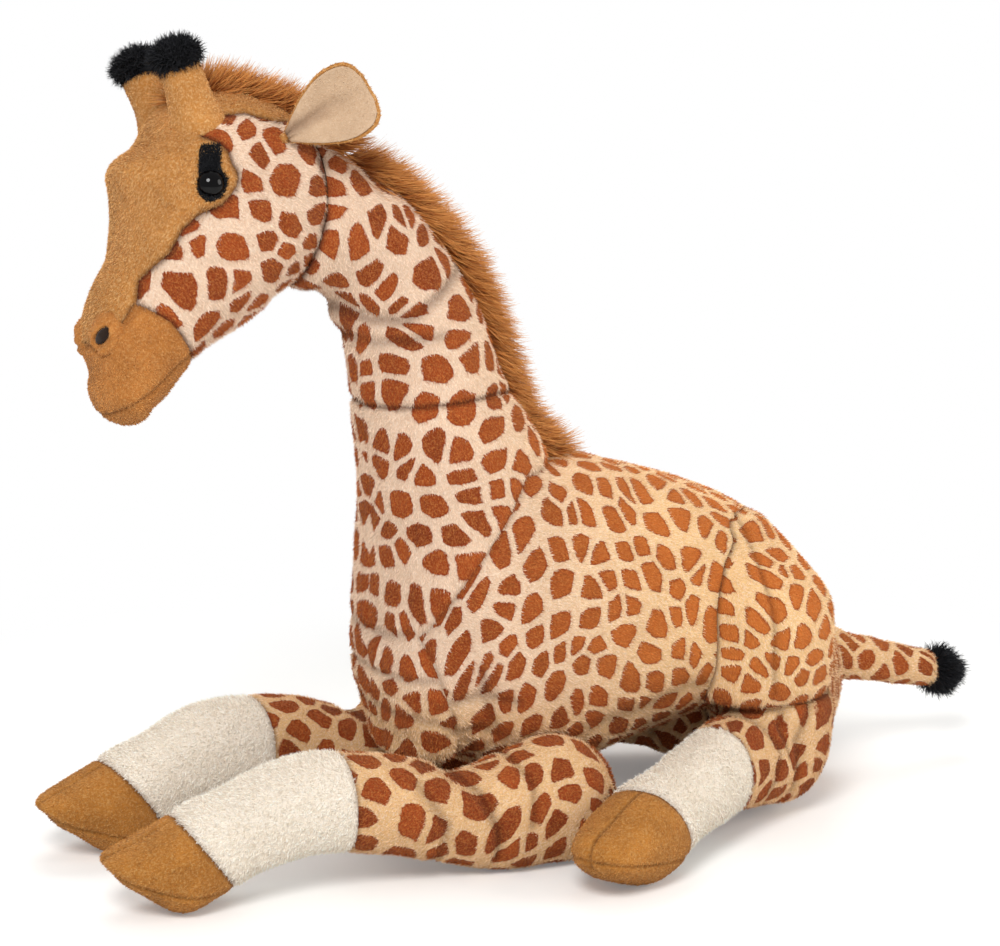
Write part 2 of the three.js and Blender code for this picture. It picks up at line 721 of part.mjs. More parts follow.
function leafSolid(side, widthShare, low, high) {
  const layers = [low, high].map((height) => {
    const grid = [];
    for (let row = 0; row <= leafRows; row += 1) {
      const share = row / leafRows;
      const reach = ear.stem + share * (ear.length - ear.stem);
      const half = ear.halfWidth * widthShare * leafOutline(0.02 + share * 0.96);
      for (let column = 0; column <= leafColumns; column += 1) {
        const place = (2 * column) / leafColumns - 1;
        const dish = leafDish(Math.abs(place) * widthShare, half / widthShare);
        grid.push(new THREE.Vector3(reach, place * half, height + dish));
      }
    }
    return grid;
  });
  const points = [...layers[0], ...layers[1]];
  const faces = [];
  const count = layers[0].length;
  const wide = leafColumns + 1;
  const quad = (a, b, c, d) => faces.push(a, b, c, a, c, d);
  for (let row = 0; row < leafRows; row += 1) {
    for (let column = 0; column < leafColumns; column += 1) {
      const here = row * wide + column;
      quad(here, here + 1, here + wide + 1, here + wide);
      quad(count + here, count + here + wide, count + here + wide + 1, count + here + 1);
    }
  }
  const rim = [];
  for (let column = 0; column < leafColumns; column += 1) rim.push(column);
  for (let row = 0; row < leafRows; row += 1) rim.push(row * wide + leafColumns);
  for (let column = leafColumns; column > 0; column -= 1) rim.push(leafRows * wide + column);
  for (let row = leafRows; row > 0; row -= 1) rim.push(row * wide);
  rim.forEach((here, index) => {
    const next = rim[(index + 1) % rim.length];
    quad(here, count + here, count + next, next);
  });
  const geometry = new THREE.BufferGeometry().setFromPoints(points);
  geometry.setIndex(signedVolume(points, faces) < 0 ? faces.slice().reverse() : faces);
  return toSolid(geometry.applyMatrix4(earFrame(side)));
}

function earRootCentre(side) {
  return new THREE.Vector3().setFromMatrixPosition(earFrame(side));
}

function earSolid(side) {
  const root = ballSolid(earRootCentre(side), ear.rootRadius, smallAround);
  return leafSolid(side, 1, -ear.thickness / 2, ear.thickness / 2).add(root);
}

function liningSolid(side) {
  const foot = ear.thickness / 2 + seamGap * 2;
  return leafSolid(side, ear.rimShare, foot, foot + ear.thickness / 2)
    .subtract(ballSolid(earRootCentre(side), ear.rootRadius + seamGap, smallAround));
}

function earSockets() {
  return ballSolid(earRootCentre(-1), ear.rootRadius + seamGap, smallAround)
    .add(ballSolid(earRootCentre(1), ear.rootRadius + seamGap, smallAround));
}

const headPanels = headShell.subtract(earSockets())
  .subtract(stemHole(-1)).subtract(stemHole(1)).subtract(eyeRoom(-1)).subtract(eyeRoom(1));
const facePanel = headPanels.intersect(faceRegion(0)).subtract(muzzleRegion(seamGap));
const muzzleSkin = headPanels.intersect(muzzleRegion(0)).subtract(jawRegion(-seamGap));
const jawSkin = headPanels.intersect(muzzleRegion(0)).intersect(jawRegion(0));
const cheekSkin = headPanels.subtract(faceRegion(seamGap)).subtract(muzzleRegion(seamGap));
const headCore = headSolid(-skinThickness - seamGap)
  .subtract(eyeRoom(-1)).subtract(eyeRoom(1)).subtract(earSockets());

// Legs: each one stuffed tube from its round joint to a cloven hoof, in print, cuff and hoof pieces
function legForm(rows, origin, direction, thickUnit, length, tipCap) {
  const side = new THREE.Vector3().crossVectors(direction, upward).normalize();
  const place = (alongShare, height) => origin.clone()
    .addScaledVector(direction, alongShare * length).addScaledVector(upward, height);
  return makeForm(rows.map(([alongShare, upShare, thickShare, wideShare]) => ({
    top: place(alongShare, (upShare + thickShare) * thickUnit),
    low: place(alongShare, (upShare - thickShare) * thickUnit - restCut),
    wide: wideShare * thickUnit,
  })), side, 0, tipCap, limbAround);
}

function forelegFrame(side) {
  const origin = new THREE.Vector3(foreleg.elbowX, side * foreleg.elbowY, 0);
  const direction = new THREE.Vector3(-foreleg.length, -side * foreleg.inward, 0).normalize();
  return { origin, direction };
}

function hindlegFrame(side) {
  const origin = new THREE.Vector3(hindleg.hockX, side * hindleg.hockY, 0);
  const turn = THREE.MathUtils.degToRad(hindleg.outward);
  const direction = new THREE.Vector3(-Math.cos(turn), side * Math.sin(turn), 0);
  return { origin, direction };
}

// A leg grown by a clearance, with its round joint
function forelegSolid(side, grow) {
  const { origin, direction } = forelegFrame(side);
  const form = legForm(forelegRowShares, origin, direction, foreleg.radius, foreleg.length - foreleg.tipCap,
    foreleg.tipCap);
  return formSolid(form, grow).add(elbowBall(side, grow));
}

function hindlegSolid(side, grow) {
  const { origin, direction } = hindlegFrame(side);
  const form = legForm(hindlegRowShares, origin, direction, hindleg.radius, hindleg.length - hindleg.tipCap,
    hindleg.tipCap);
  const above = halfSpace(new THREE.Vector3(0, 0, hindleg.hockTop - seamGap + grow), upward);
  return formSolid(form, grow).add(hockPuck(side, grow)).subtract(above);
}

// Notch between the two toes, from the tip back over the top of the hoof
function cleftBlade(frame, size, grow) {
  const height = size.radius * 2;
  const run = (size.length - size.hoofStart) * hoofCleft.lengthShare + grow;
  const tip = size.length + hoofCleft.depth;
  const low = height - hoofCleft.depth - grow;
  const outline = new THREE.Shape([
    new THREE.Vector2(tip, -restCut * 2), new THREE.Vector2(tip, height * 2),
    new THREE.Vector2(tip - run, height * 2), new THREE.Vector2(tip - run, low),
    new THREE.Vector2(size.length - hoofCleft.depth * 2.2 - grow, low * 0.66),
    new THREE.Vector2(size.length - hoofCleft.depth - grow, size.radius * 0.7),
    new THREE.Vector2(size.length - hoofCleft.depth * 1.4 - grow, -restCut * 2),
  ]);
  const blade = new THREE.ExtrudeGeometry(outline, {
    depth: hoofCleft.width + grow * 2, bevelEnabled: false,
  });
  blade.translate(0, 0, -hoofCleft.width / 2 - grow);
  const across = new THREE.Vector3().crossVectors(frame.direction, upward);
  const place = new THREE.Matrix4().makeBasis(frame.direction, upward, across).setPosition(frame.origin);
  return toSolid(blade.applyMatrix4(place));
}

function legPieces(frame, size, solidAt, neighbours) {
  const at = (distance) => frame.origin.clone().addScaledVector(frame.direction, distance);
  const forward = frame.direction;
  const down = new THREE.Vector3(0, 0, -1);
  const whole = solidAt(0).subtract(neighbours).subtract(floorBlock());
  const hollow = solidAt(-skinThickness)
    .subtract(halfSpace(new THREE.Vector3(0, 0, skinThickness), down))
    .subtract(cleftBlade(frame, size, skinThickness));
  const core = solidAt(-skinThickness - seamGap).subtract(neighbours)
    .subtract(halfSpace(new THREE.Vector3(0, 0, skinThickness + seamGap), down))
    .subtract(cleftBlade(frame, size, skinThickness + seamGap));
  const skin = whole.subtract(hollow);
  const cuffOn = halfSpace(at(size.cuffStart), forward);
  const cuffOnGap = halfSpace(at(size.cuffStart - seamGap), forward);
  const hoofOn = halfSpace(at(size.hoofStart), forward);
  const hoofOnGap = halfSpace(at(size.hoofStart - seamGap), forward);
  return {
    print: skin.subtract(cuffOnGap),
    cuff: skin.intersect(cuffOn).subtract(hoofOnGap),
    hoof: skin.intersect(hoofOn).subtract(cleftBlade(frame, size, 0)),
    core,
  };
}

const bodyOuter = bodyForm(seamGap);
const besideForeleg = (side) => bodyOuter.subtract(elbowBall(side, 0));
const besideHindleg = (side) => bodyOuter.subtract(hockPuck(side, 0));

// Thighs: stuffed pads sewn on the flanks above the folded hind legs
function thighSolid(side) {
  const rows = thighRowShares.map(([alongShare, outShare, upShare, sizeShare]) => {
    const middle = thigh.frontX + alongShare * thigh.length;
    const half = sizeShare * thigh.length / 2;
    const y = side * thigh.inset * outShare;
    const z = hindleg.hockTop - thigh.topCap + upShare * thigh.height;
    return {
      top: new THREE.Vector3(middle - half, y, z),
      low: new THREE.Vector3(middle + half, y, z),
      wide: sizeShare * thigh.halfThickness,
    };
  });
  const form = makeForm(rows, sideways, 0, thigh.topCap, limbAround);
  const below = halfSpace(new THREE.Vector3(0, 0, hindleg.hockTop), new THREE.Vector3(0, 0, -1));
  return formSolid(form).subtract(bodyOuter).subtract(below);
}

// Tail: a thin stuffed tube on a ball root, ending in a fluffy tuft
function tailForm(grow) {
  const end = new THREE.Vector3(tail.rootX + tail.length, 0, tail.rootZ - tail.drop);
  const start = tailRoot();
  const rows = tailRowShares.map((share) => {
    const radius = THREE.MathUtils.lerp(tail.rootRadius, tail.tipRadius, Math.sqrt(share));
    return {
      top: start.clone().lerp(end, share).addScaledVector(upward, radius),
      low: start.clone().lerp(end, share).addScaledVector(upward, -radius),
      wide: radius * 0.95,
    };
  });
  return formSolid(makeForm(rows, sideways, 0, 0, smallAround), grow);
}

function tailSolid() {
  const ball = tailBall(0);
  return tailForm(0).add(ball).subtract(bodyOuter.subtract(ball))
    .subtract(tailTuftBlob(seamGap));
}

function tailTuftBlob(grow) {
  const ball = new THREE.SphereGeometry(1, smallAround, Math.round(smallAround * 0.6));
  ball.scale(tailTuft.halfLength + grow, tailTuft.halfWidth + grow, tailTuft.halfHeight + grow);
  const reach = tail.length + tailTuft.halfLength * 0.7;
  return toSolid(moved(ball, new THREE.Vector3(
    tail.rootX + reach, 0, tail.rootZ - tail.drop * (reach / tail.length))));
}

// Mane: a narrow crest along the top of the neck and over the crown, parted where the head nods
function maneForm(shares, toPoint) {
  const rows = shares.map(([outerX, outerZ, innerX, innerZ]) => ({
    top: toPoint(outerX, outerZ), low: toPoint(innerX, innerZ), wide: mane.halfWidth,
  }));
  return formSolid(makeForm(rows, sideways, 0, 0, smallAround));
}

function nodSector(turn) {
  const direction = new THREE.Vector3(Math.sin(turn), 0, -Math.cos(turn));
  return halfSpace(pivot, direction);
}

const napeEnd = neckForm.lowLine.getPoint(1);
const maneSeamTurn = Math.atan2(napeEnd.z + mane.sink - nod.pivotZ, napeEnd.x - nod.pivotX);
const slackTurn = THREE.MathUtils.degToRad(mane.nodSlack);

const maneHead = maneForm(maneHeadShares, (x, z) => {
  const spot = onHeadSide(x, z);
  return new THREE.Vector3(spot.x, 0, spot.y);
}).subtract(headSolid(seamGap)).subtract(nodSector(maneSeamTurn + slackTurn / 2));

const maneNeck = maneForm(maneNeckShares, (x, z) =>
  new THREE.Vector3(neck.footX + x * neck.reach, 0, neck.footZ + z * neck.rise))
  .subtract(bodyOuter).subtract(tilted(headSolid(seamGap)))
  .subtract(tilted(headBall(seamGap, pocketShare(headJointAround))))
  .intersect(nodSector(maneSeamTurn - slackTurn / 2));

// Looks
function cloth(hex, roughness = 0.92) {
  return new THREE.MeshStandardMaterial({ color: hex, roughness, metalness: 0 });
}
const looks = {
  print: () => cloth('#c98a5e'), face: () => cloth('#b9783a'), muzzle: () => cloth('#b06a30'),
  hoof: () => cloth('#a96f31'), cuff: () => cloth('#e2cfb4'), mane: () => cloth('#a5652d'),
  tuft: () => cloth('#17171a'), lining: () => cloth('#d9c6a0'), filling: () => cloth('#f1efe8'),
  gloss: () => cloth('#0b0a0a', 0.08), plastic: () => cloth('#d8d8d4', 0.5),
  lash: () => cloth('#101013', 0.8), dark: () => cloth('#1d1512', 0.6),
};

// The scene graph: each moving body is a group that stands at its own joint
const giraffe = new THREE.Group();
const bodyGroup = new THREE.Group();
giraffe.add(bodyGroup);

function jointGroup(parent, joint) {
  const group = new THREE.Group();
  group.position.copy(joint).sub(parent.userData.joint ?? new THREE.Vector3());
  group.userData.joint = joint;
  parent.add(group);
  return group;
}

function addPiece(group, name, solid, material) {
  const joint = group.userData.joint ?? new THREE.Vector3();
  const mesh = new THREE.Mesh(toGeometry(solid).translate(-joint.x, -joint.y, -joint.z), material);
  mesh.name = name;
  group.add(mesh);
}

addPiece(bodyGroup, 'torso_skin', torsoSkin, looks.print());
addPiece(bodyGroup, 'neck_skin', neckSkin, looks.print());
addPiece(bodyGroup, 'body_filling', bodyCore, looks.filling());
addPiece(bodyGroup, 'neck_mane', maneNeck, looks.mane());

const headGroup = jointGroup(bodyGroup, pivot);
headGroup.quaternion.copy(headTilt);
addPiece(headGroup, 'cheek_skin', cheekSkin, looks.print());
addPiece(headGroup, 'face_panel', facePanel, looks.face());
addPiece(headGroup, 'muzzle_skin', muzzleSkin, looks.muzzle());
addPiece(headGroup, 'jaw_skin', jawSkin, looks.muzzle());
addPiece(headGroup, 'head_filling', headCore, looks.filling());
addPiece(headGroup, 'head_mane', maneHead, looks.mane());

const tailGroup = jointGroup(bodyGroup, tailRoot());
addPiece(tailGroup, 'tail_tube', tailSolid(), looks.print());
addPiece(tailGroup, 'tail_tuft', tailTuftBlob(0), looks.tuft());

for (const [side, word] of [[-1, 'left'], [1, 'right']]) {
  addPiece(bodyGroup, `thigh_${word}`, thighSolid(side), looks.print());

  addPiece(headGroup, `horn_${word}`, hornSolid(side), looks.face());
  addPiece(headGroup, `horn_tuft_${word}`, hornTuftSolid(side), looks.tuft());
  addPiece(headGroup, `eye_${word}`, eyeSolid(side), looks.gloss());
  addPiece(headGroup, `eye_washer_${word}`, washerSolid(side), looks.plastic());
  addPiece(headGroup, `eye_lash_${word}`, lashSolid(side), looks.lash());
  addPiece(headGroup, `nostril_ring_${word}`, nostrilRing(side), looks.muzzle());
  addPiece(headGroup, `nostril_slot_${word}`, nostrilSlot(side), looks.dark());

  const earGroup = jointGroup(headGroup, earRootCentre(side));
  addPiece(earGroup, `ear_${word}`, earSolid(side), looks.face());
  addPiece(earGroup, `ear_lining_${word}`, liningSolid(side), looks.lining());

  const fore = legPieces(forelegFrame(side), foreleg, (grow) => forelegSolid(side, grow),
    besideForeleg(side));
  const foreGroup = jointGroup(bodyGroup, forelegFrame(side).origin);
  addPiece(foreGroup, `foreleg_${word}`, fore.print, looks.print());
  addPiece(foreGroup, `foreleg_cuff_${word}`, fore.cuff, looks.cuff());
  addPiece(foreGroup, `fore_hoof_${word}`, fore.hoof, looks.hoof());
  addPiece(foreGroup, `foreleg_filling_${word}`, fore.core, looks.filling());

  const hind = legPieces(hindlegFrame(side), hindleg, (grow) => hindlegSolid(side, grow),
    besideHindleg(side));
  const hindGroup = jointGroup(bodyGroup, hindlegFrame(side).origin);
  addPiece(hindGroup, `hindleg_${word}`, hind.print, looks.print());
  addPiece(hindGroup, `hindleg_cuff_${word}`, hind.cuff, looks.cuff());
  addPiece(hindGroup, `hind_hoof_${word}`, hind.hoof, looks.hoof());
  addPiece(hindGroup, `hindleg_filling_${word}`, hind.core, looks.filling());
}

// Origin under the middle of the whole toy, on the floor
giraffe.updateMatrixWorld(true);
const extent = new THREE.Box3().setFromObject(giraffe, true);
giraffe.position.x = -(extent.min.x + extent.max.x) / 2;

export default giraffe;
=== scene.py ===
import bpy
import json
import math
import numpy as np
from mathutils import Matrix, Vector, noise
from mathutils.bvhtree import BVHTree
from mathutils.kdtree import KDTree

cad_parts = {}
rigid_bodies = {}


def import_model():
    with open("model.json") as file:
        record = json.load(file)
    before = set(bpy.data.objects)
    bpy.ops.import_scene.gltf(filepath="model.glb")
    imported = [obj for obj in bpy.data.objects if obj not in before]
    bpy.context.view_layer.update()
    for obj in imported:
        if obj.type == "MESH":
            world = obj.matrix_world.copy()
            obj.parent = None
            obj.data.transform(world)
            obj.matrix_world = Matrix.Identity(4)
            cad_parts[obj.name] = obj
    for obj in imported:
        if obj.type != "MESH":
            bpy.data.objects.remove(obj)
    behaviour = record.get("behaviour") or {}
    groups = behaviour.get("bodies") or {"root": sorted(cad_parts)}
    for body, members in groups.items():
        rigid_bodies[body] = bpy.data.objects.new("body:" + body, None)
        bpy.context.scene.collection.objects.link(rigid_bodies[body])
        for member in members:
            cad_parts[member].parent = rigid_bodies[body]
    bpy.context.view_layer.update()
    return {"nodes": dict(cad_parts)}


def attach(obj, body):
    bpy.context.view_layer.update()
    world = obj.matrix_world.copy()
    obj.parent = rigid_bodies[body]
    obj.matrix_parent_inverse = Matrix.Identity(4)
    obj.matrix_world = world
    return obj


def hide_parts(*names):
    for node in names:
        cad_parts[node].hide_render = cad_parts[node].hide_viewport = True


# Plush giraffe lying down. Places are worked out in millimetres with the nose towards -X,
# the left side towards -Y and the feet on z = 0, then moved along X onto the part.
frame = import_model()
shiftX = 132.242
roundness = 2.15            # section outline: 2 is an ellipse, more is squarer
sideways = np.array([0.0, 1.0, 0.0])

cameraView = {
    "azimuth": -27.0, "elevation": 12.0, "distance": 2.2,
    "target": (-0.07224, -0.060, 0.290), "lens": 107.76,
}


# Small helpers

def linear(hexColour):
    parts = [int(hexColour[i:i + 2], 16) / 255 for i in (1, 3, 5)]
    return tuple(p / 12.92 if p <= 0.04045 else ((p + 0.055) / 1.055) ** 2.4 for p in parts) + (1.0,)


def setInputs(tree, node, inputs):
    for name, value in inputs.items():
        if isinstance(value, bpy.types.NodeSocket):
            tree.links.new(value, node.inputs[name])
        else:
            node.inputs[name].default_value = value


def addNode(tree, kind, settings=None, inputs=None):
    made = tree.nodes.new(kind)
    for name, value in (settings or {}).items():
        setattr(made, name, value)
    setInputs(tree, made, inputs or {})
    return made


def toMetres(points):
    return (np.asarray(points, float) - [shiftX, 0, 0]) / 1000


def makeObject(name, points, faces):
    mesh = bpy.data.meshes.new(name)
    mesh.from_pydata(toMetres(points).tolist(), [], faces)
    mesh.shade_smooth()
    obj = bpy.data.objects.new(name, mesh)
    bpy.context.scene.collection.objects.link(obj)
    return obj


def readPoints(obj):
    flat = np.empty(len(obj.data.vertices) * 3, np.float32)
    obj.data.vertices.foreach_get("co", flat)
    return flat.reshape(-1, 3).astype(float) * 1000 + [shiftX, 0, 0]


def readNormals(obj):
    flat = np.empty(len(obj.data.vertices) * 3, np.float32)
    obj.data.vertex_normals.foreach_get("vector", flat)
    return flat.reshape(-1, 3).astype(float)


def writePoints(obj, points):
    obj.data.vertices.foreach_set("co", toMetres(points).astype(np.float32).ravel())
    obj.data.update()


def surface(obj):
    return readPoints(obj), readNormals(obj)


def faceValues(obj, kind):
    flat = np.empty(len(obj.data.polygons) * 3, np.float32)
    obj.data.polygons.foreach_get(kind, flat)
    return flat.reshape(-1, 3).astype(float)


def faceMiddles(obj):
    return faceValues(obj, "center") * 1000 + [shiftX, 0, 0]


def store(obj, name, kind, domain, values, field="value"):
    obj.data.attributes.new(name, kind, domain).data.foreach_set(field, values)


def settle(obj):
    # what the modifiers make becomes the plain mesh
    seen = obj.evaluated_get(bpy.context.evaluated_depsgraph_get())
    mesh = bpy.data.meshes.new_from_object(seen)
    obj.modifiers.clear()
    before = obj.data
    obj.data = mesh
    bpy.data.meshes.remove(before)
    return obj


def discard(*objects):
    for obj in objects:
        mesh = obj.data
        bpy.data.objects.remove(obj)
        bpy.data.meshes.remove(mesh)


def duplicate(obj, name):
    copy = bpy.data.objects.new(name, obj.data.copy())
    bpy.context.scene.collection.objects.link(copy)
    return copy


def cut(obj, tool, operation="DIFFERENCE"):
    boolean = obj.modifiers.new("cut", "BOOLEAN")
    boolean.operation = operation
    boolean.solver = "MANIFOLD"
    boolean.object = tool
    return settle(obj)


def cutForm(obj, form, operation="DIFFERENCE"):
    # cut with a shape that is then thrown away
    tool = makeObject("tool", *form)
    cut(obj, tool, operation)
    discard(tool)
    return obj


def joined(name, parts):
    points, faces, start = [], [], 0
    for partPoints, partFaces in parts:
        points.append(partPoints)
        faces += [[index + start for index in face] for face in partFaces]
        start += len(partPoints)
    return makeObject(name, np.concatenate(points), faces)


def fused(obj, voxel, passes):
    # one skin round all that overlaps, with the steps smoothed away
    remesh = obj.modifiers.new("skin", "REMESH")
    remesh.mode = "VOXEL"
    remesh.voxel_size = voxel / 1000
    soften = obj.modifiers.new("soften", "SMOOTH")
    soften.factor = 0.5
    soften.iterations = passes
    return settle(obj)


def wander(points, size, seed=0.0):
    # smooth noise, about -1 to 1
    scaled = points / size + seed
    return np.array([noise.noise(Vector(p)) for p in scaled]) * 1.6


def unit(direction):
    direction = np.array(direction, float)
    return direction / np.linalg.norm(direction)


# Lofted stuffed forms

def smoothRows(rows, spacing):
    chord = np.linalg.norm(np.diff(rows[:, :6], axis=0), axis=1)
    gap = np.sqrt(chord)
    slope = np.diff(rows, axis=0) / gap[:, None]
    tangent = np.empty_like(rows)
    tangent[0], tangent[-1] = slope[0], slope[-1]
    weight = (gap[1:] + gap[:-1])[:, None]
    tangent[1:-1] = (slope[:-1] * gap[1:, None] + slope[1:] * gap[:-1, None]) / weight
    out = []
    for i, width in enumerate(gap):
        longest = max(np.linalg.norm(rows[i + 1, k:k + 3] - rows[i, k:k + 3]) for k in (0, 3))
        steps = max(2, math.ceil(longest / spacing))
        t = (np.arange(steps) / steps)[:, None]
        out.append((2 * t**3 - 3 * t**2 + 1) * rows[i] + (t**3 - 2 * t**2 + t) * width * tangent[i]
                   + (3 * t**2 - 2 * t**3) * rows[i + 1] + (t**3 - t**2) * width * tangent[i + 1])
    return np.concatenate(out + [rows[-1:]])


def loft(rows, side, startCap, endCap, around=120, spacing=3.0):
    rows = np.array(rows, float)
    dense = smoothRows(rows, spacing)
    top, low, wide = dense[:, :3], dense[:, 3:6], dense[:, 6]
    centre = (top + low) / 2
    up = top - centre
    turn = 2 * np.pi * np.arange(around) / around
    across = np.sign(np.cos(turn)) * np.abs(np.cos(turn)) ** (2 / roundness)
    rise = np.sign(np.sin(turn)) * np.abs(np.sin(turn)) ** (2 / roundness)
    section = (across[None, :, None] * wide[:, None, None] * side
               + rise[None, :, None] * up[:, None, :])
    rings = [centre[i] + section[i] for i in range(len(dense))]
    ahead = [dense[1] - dense[0], dense[-1] - dense[-2]]
    ahead = [(d[:3] + d[3:6]) / np.linalg.norm(d[:3] + d[3:6]) for d in ahead]
    tips = [centre[0] - ahead[0] * startCap, centre[-1] + ahead[1] * endCap]
    first, last, steps = rings[0], rings[-1], 10
    for step in range(1, steps):
        angle = math.pi / 2 * step / steps
        if startCap:
            rings.insert(0, centre[0] - ahead[0] * startCap * math.sin(angle)
                         + (first - centre[0]) * math.cos(angle))
        if endCap:
            rings.append(centre[-1] + ahead[1] * endCap * math.sin(angle)
                         + (last - centre[-1]) * math.cos(angle))
    rings = np.array(rings)
    points = np.concatenate([rings.reshape(-1, 3), tips])
    return {"rings": rings, "points": points, "faces": closedFaces(points, len(rings), around)}


def triangles(faces):
    return np.array([f[:3] for f in faces] + [[f[0], f[2], f[3]] for f in faces if len(f) == 4])


def closedFaces(points, rows, around):
    # rings of equal count that end in two tips, faces outward
    here = np.arange(around)
    after = (here + 1) % around
    quads = [np.stack([r * around + here, r * around + after, (r + 1) * around + after,
                       (r + 1) * around + here], 1) for r in range(rows - 1)]
    faces = np.concatenate(quads).tolist()
    startTip, base = rows * around, (rows - 1) * around
    faces += np.stack([np.full(around, startTip), after, here], 1).tolist()
    faces += np.stack([np.full(around, startTip + 1), base + here, base + after], 1).tolist()
    a, b, c = (points[corner] for corner in triangles(faces).T)
    volume = np.einsum("ij,ij->i", a, np.cross(b, c)).sum()
    return faces if volume > 0 else [f[::-1] for f in faces]


def lathe(profile, around=64, squeeze=(1, 1)):
    # closed round solid about the vertical, from [radius, height] pairs that start and end on it
    turn = 2 * np.pi * np.arange(around) / around
    circle = np.stack([np.cos(turn) * squeeze[0], np.sin(turn) * squeeze[1], turn * 0], 1)
    rings = [circle * radius + [0, 0, height] for radius, height in profile[1:-1]]
    tips = [[0, 0, profile[0][1]], [0, 0, profile[-1][1]]]
    points = np.concatenate([np.array(rings).reshape(-1, 3), tips])
    return points, closedFaces(points, len(rings), around)


def rounded(profile, passes=2):
    # cuts the corners of a [radius, height] outline
    line = np.array(profile, float)
    for _ in range(passes):
        inner = [line[0]]
        for a, b in zip(line[:-1], line[1:]):
            inner += [a * 0.75 + b * 0.25, a * 0.25 + b * 0.75]
        line = np.array(inner + [line[-1]])
    return line


def ellipsoid(centre, radii, around=56):
    turns = np.linspace(-math.pi / 2, math.pi / 2, around // 2)
    points, faces = lathe([(math.cos(t), math.sin(t)) for t in turns], around)
    return points * radii + centre, faces


def placeOn(points, axes):
    # from a piece's own axes to its place on the model
    origin, along, across, out = axes
    return origin + points @ np.array([along, across, out])


def sheet(rows, columns, place):
    # thin closed sheet: place gives a point from layer, share of length and share of width
    points = np.array([place(layer, row / rows, column / columns) for layer in (0, 1)
                       for row in range(rows + 1) for column in range(columns + 1)])
    stride, count = columns + 1, (rows + 1) * (columns + 1)
    faces = []
    for row in range(rows):
        for column in range(columns):
            p = row * stride + column
            faces.append([p, p + 1, p + stride + 1, p + stride])
            faces.append([count + p, count + p + stride, count + p + stride + 1, count + p + 1])
    rim = list(range(columns)) + [r * stride + columns for r in range(rows)]
    rim += [rows * stride + c for c in range(columns, 0, -1)] + [r * stride for r in range(rows, 0, -1)]
    faces += [[p, count + p, count + q, q] for p, q in zip(rim, rim[1:] + rim[:1])]
    return points, faces


def outwardNormals(obj):
    points = readPoints(obj)
    obj.data.calc_loop_triangles()
    a, b, c = (points[corner] for corner in np.array([t.vertices[:] for t in obj.data.loop_triangles]).T)
    if np.einsum("ij,ij->i", a - points.mean(0), np.cross(b - a, c - a)).sum() < 0:
        obj.data.flip_normals()


# Where the cloth lies on a form, one unit for each printed patch

def clothGrid(form, pitch, style, start=0.25):
    rings = form["rings"]
    count, around = rings.shape[:2]
    lengths = np.linalg.norm(np.diff(rings, axis=0), axis=2)
    column = np.concatenate([np.zeros((1, around)), np.cumsum(lengths, 0)])
    column -= column[count // 2]
    step = np.linalg.norm(np.roll(rings, -1, 1) - rings, axis=2)
    begin = int(around * start)
    place = np.zeros((count, around))
    for k in range(1, around // 2 + 1):
        j, before = (begin + k) % around, (begin + k - 1) % around
        place[:, j] = place[:, before] + step[:, before]
    for k in range(1, around - around // 2):
        j = (begin - k) % around
        place[:, j] = place[:, (j + 1) % around] - step[:, j]
    if style == "unrolled":
        flat = np.stack([column, place], 2)
    else:
        # laid out from the flank, the same way on both sides
        centre = rings.mean(1)
        up = rings[:, around // 4] - rings[:, around * 3 // 4]
        up /= np.linalg.norm(up, axis=1)[:, None]
        away = np.zeros((count, around))
        for flank, sign in ((0, 1), (around // 2, -1)):
            for k in range(1, around // 4 + 1):
                j, before = (flank + sign * k) % around, (flank + sign * (k - 1)) % around
                edge = before if sign > 0 else j
                away[:, j] = away[:, before] + step[:, edge]
                j, before = (flank - sign * k) % around, (flank - sign * (k - 1)) % around
                edge = j if sign > 0 else before
                away[:, j] = away[:, before] - step[:, edge]
        flat = centre[:, None, [0, 2]] + away[:, :, None] * up[:, None, [0, 2]]
    flat = np.concatenate([flat.reshape(-1, 2), flat[0].mean(0)[None], flat[-1].mean(0)[None]])
    tris = triangles(form["faces"])
    return {"points": form["points"], "tris": tris, "flat": flat / pitch,
            "tree": BVHTree.FromPolygons(form["points"].tolist(), tris.tolist())}


def clothPlaces(points, grid):
    found = [grid["tree"].find_nearest(Vector(p)) for p in points]
    hit = np.array([f[0] for f in found])
    tris = grid["tris"][[f[2] for f in found]]
    a, b, c = (grid["points"][tris[:, k]] for k in range(3))
    ab, ac, ap = b - a, c - a, hit - a
    d00, d01, d11 = (np.einsum("ij,ij->i", p, q) for p, q in ((ab, ab), (ab, ac), (ac, ac)))
    d20, d21 = np.einsum("ij,ij->i", ap, ab), np.einsum("ij,ij->i", ap, ac)
    low = d00 * d11 - d01 * d01
    low[np.abs(low) < 1e-12] = 1e-12
    v, w = (d11 * d20 - d01 * d21) / low, (d00 * d21 - d01 * d20) / low
    flat = grid["flat"][tris]
    return flat[:, 0] * (1 - v - w)[:, None] + flat[:, 1] * v[:, None] + flat[:, 2] * w[:, None]


# Seams and creases, as lines seen from the side

def lineDistance(places, line):
    line = np.array(line, float)
    best = np.full(len(places), 1e9)
    for a, b in zip(line[:-1], line[1:]):
        run = b - a
        share = np.clip((places - a) @ run / (run @ run), 0, 1)
        best = np.minimum(best, np.linalg.norm(places - a - share[:, None] * run, axis=1))
    return best


puckering, endFade = 0.28, 16     # depth of the gathers beside a seam, run-out of a crease in mm


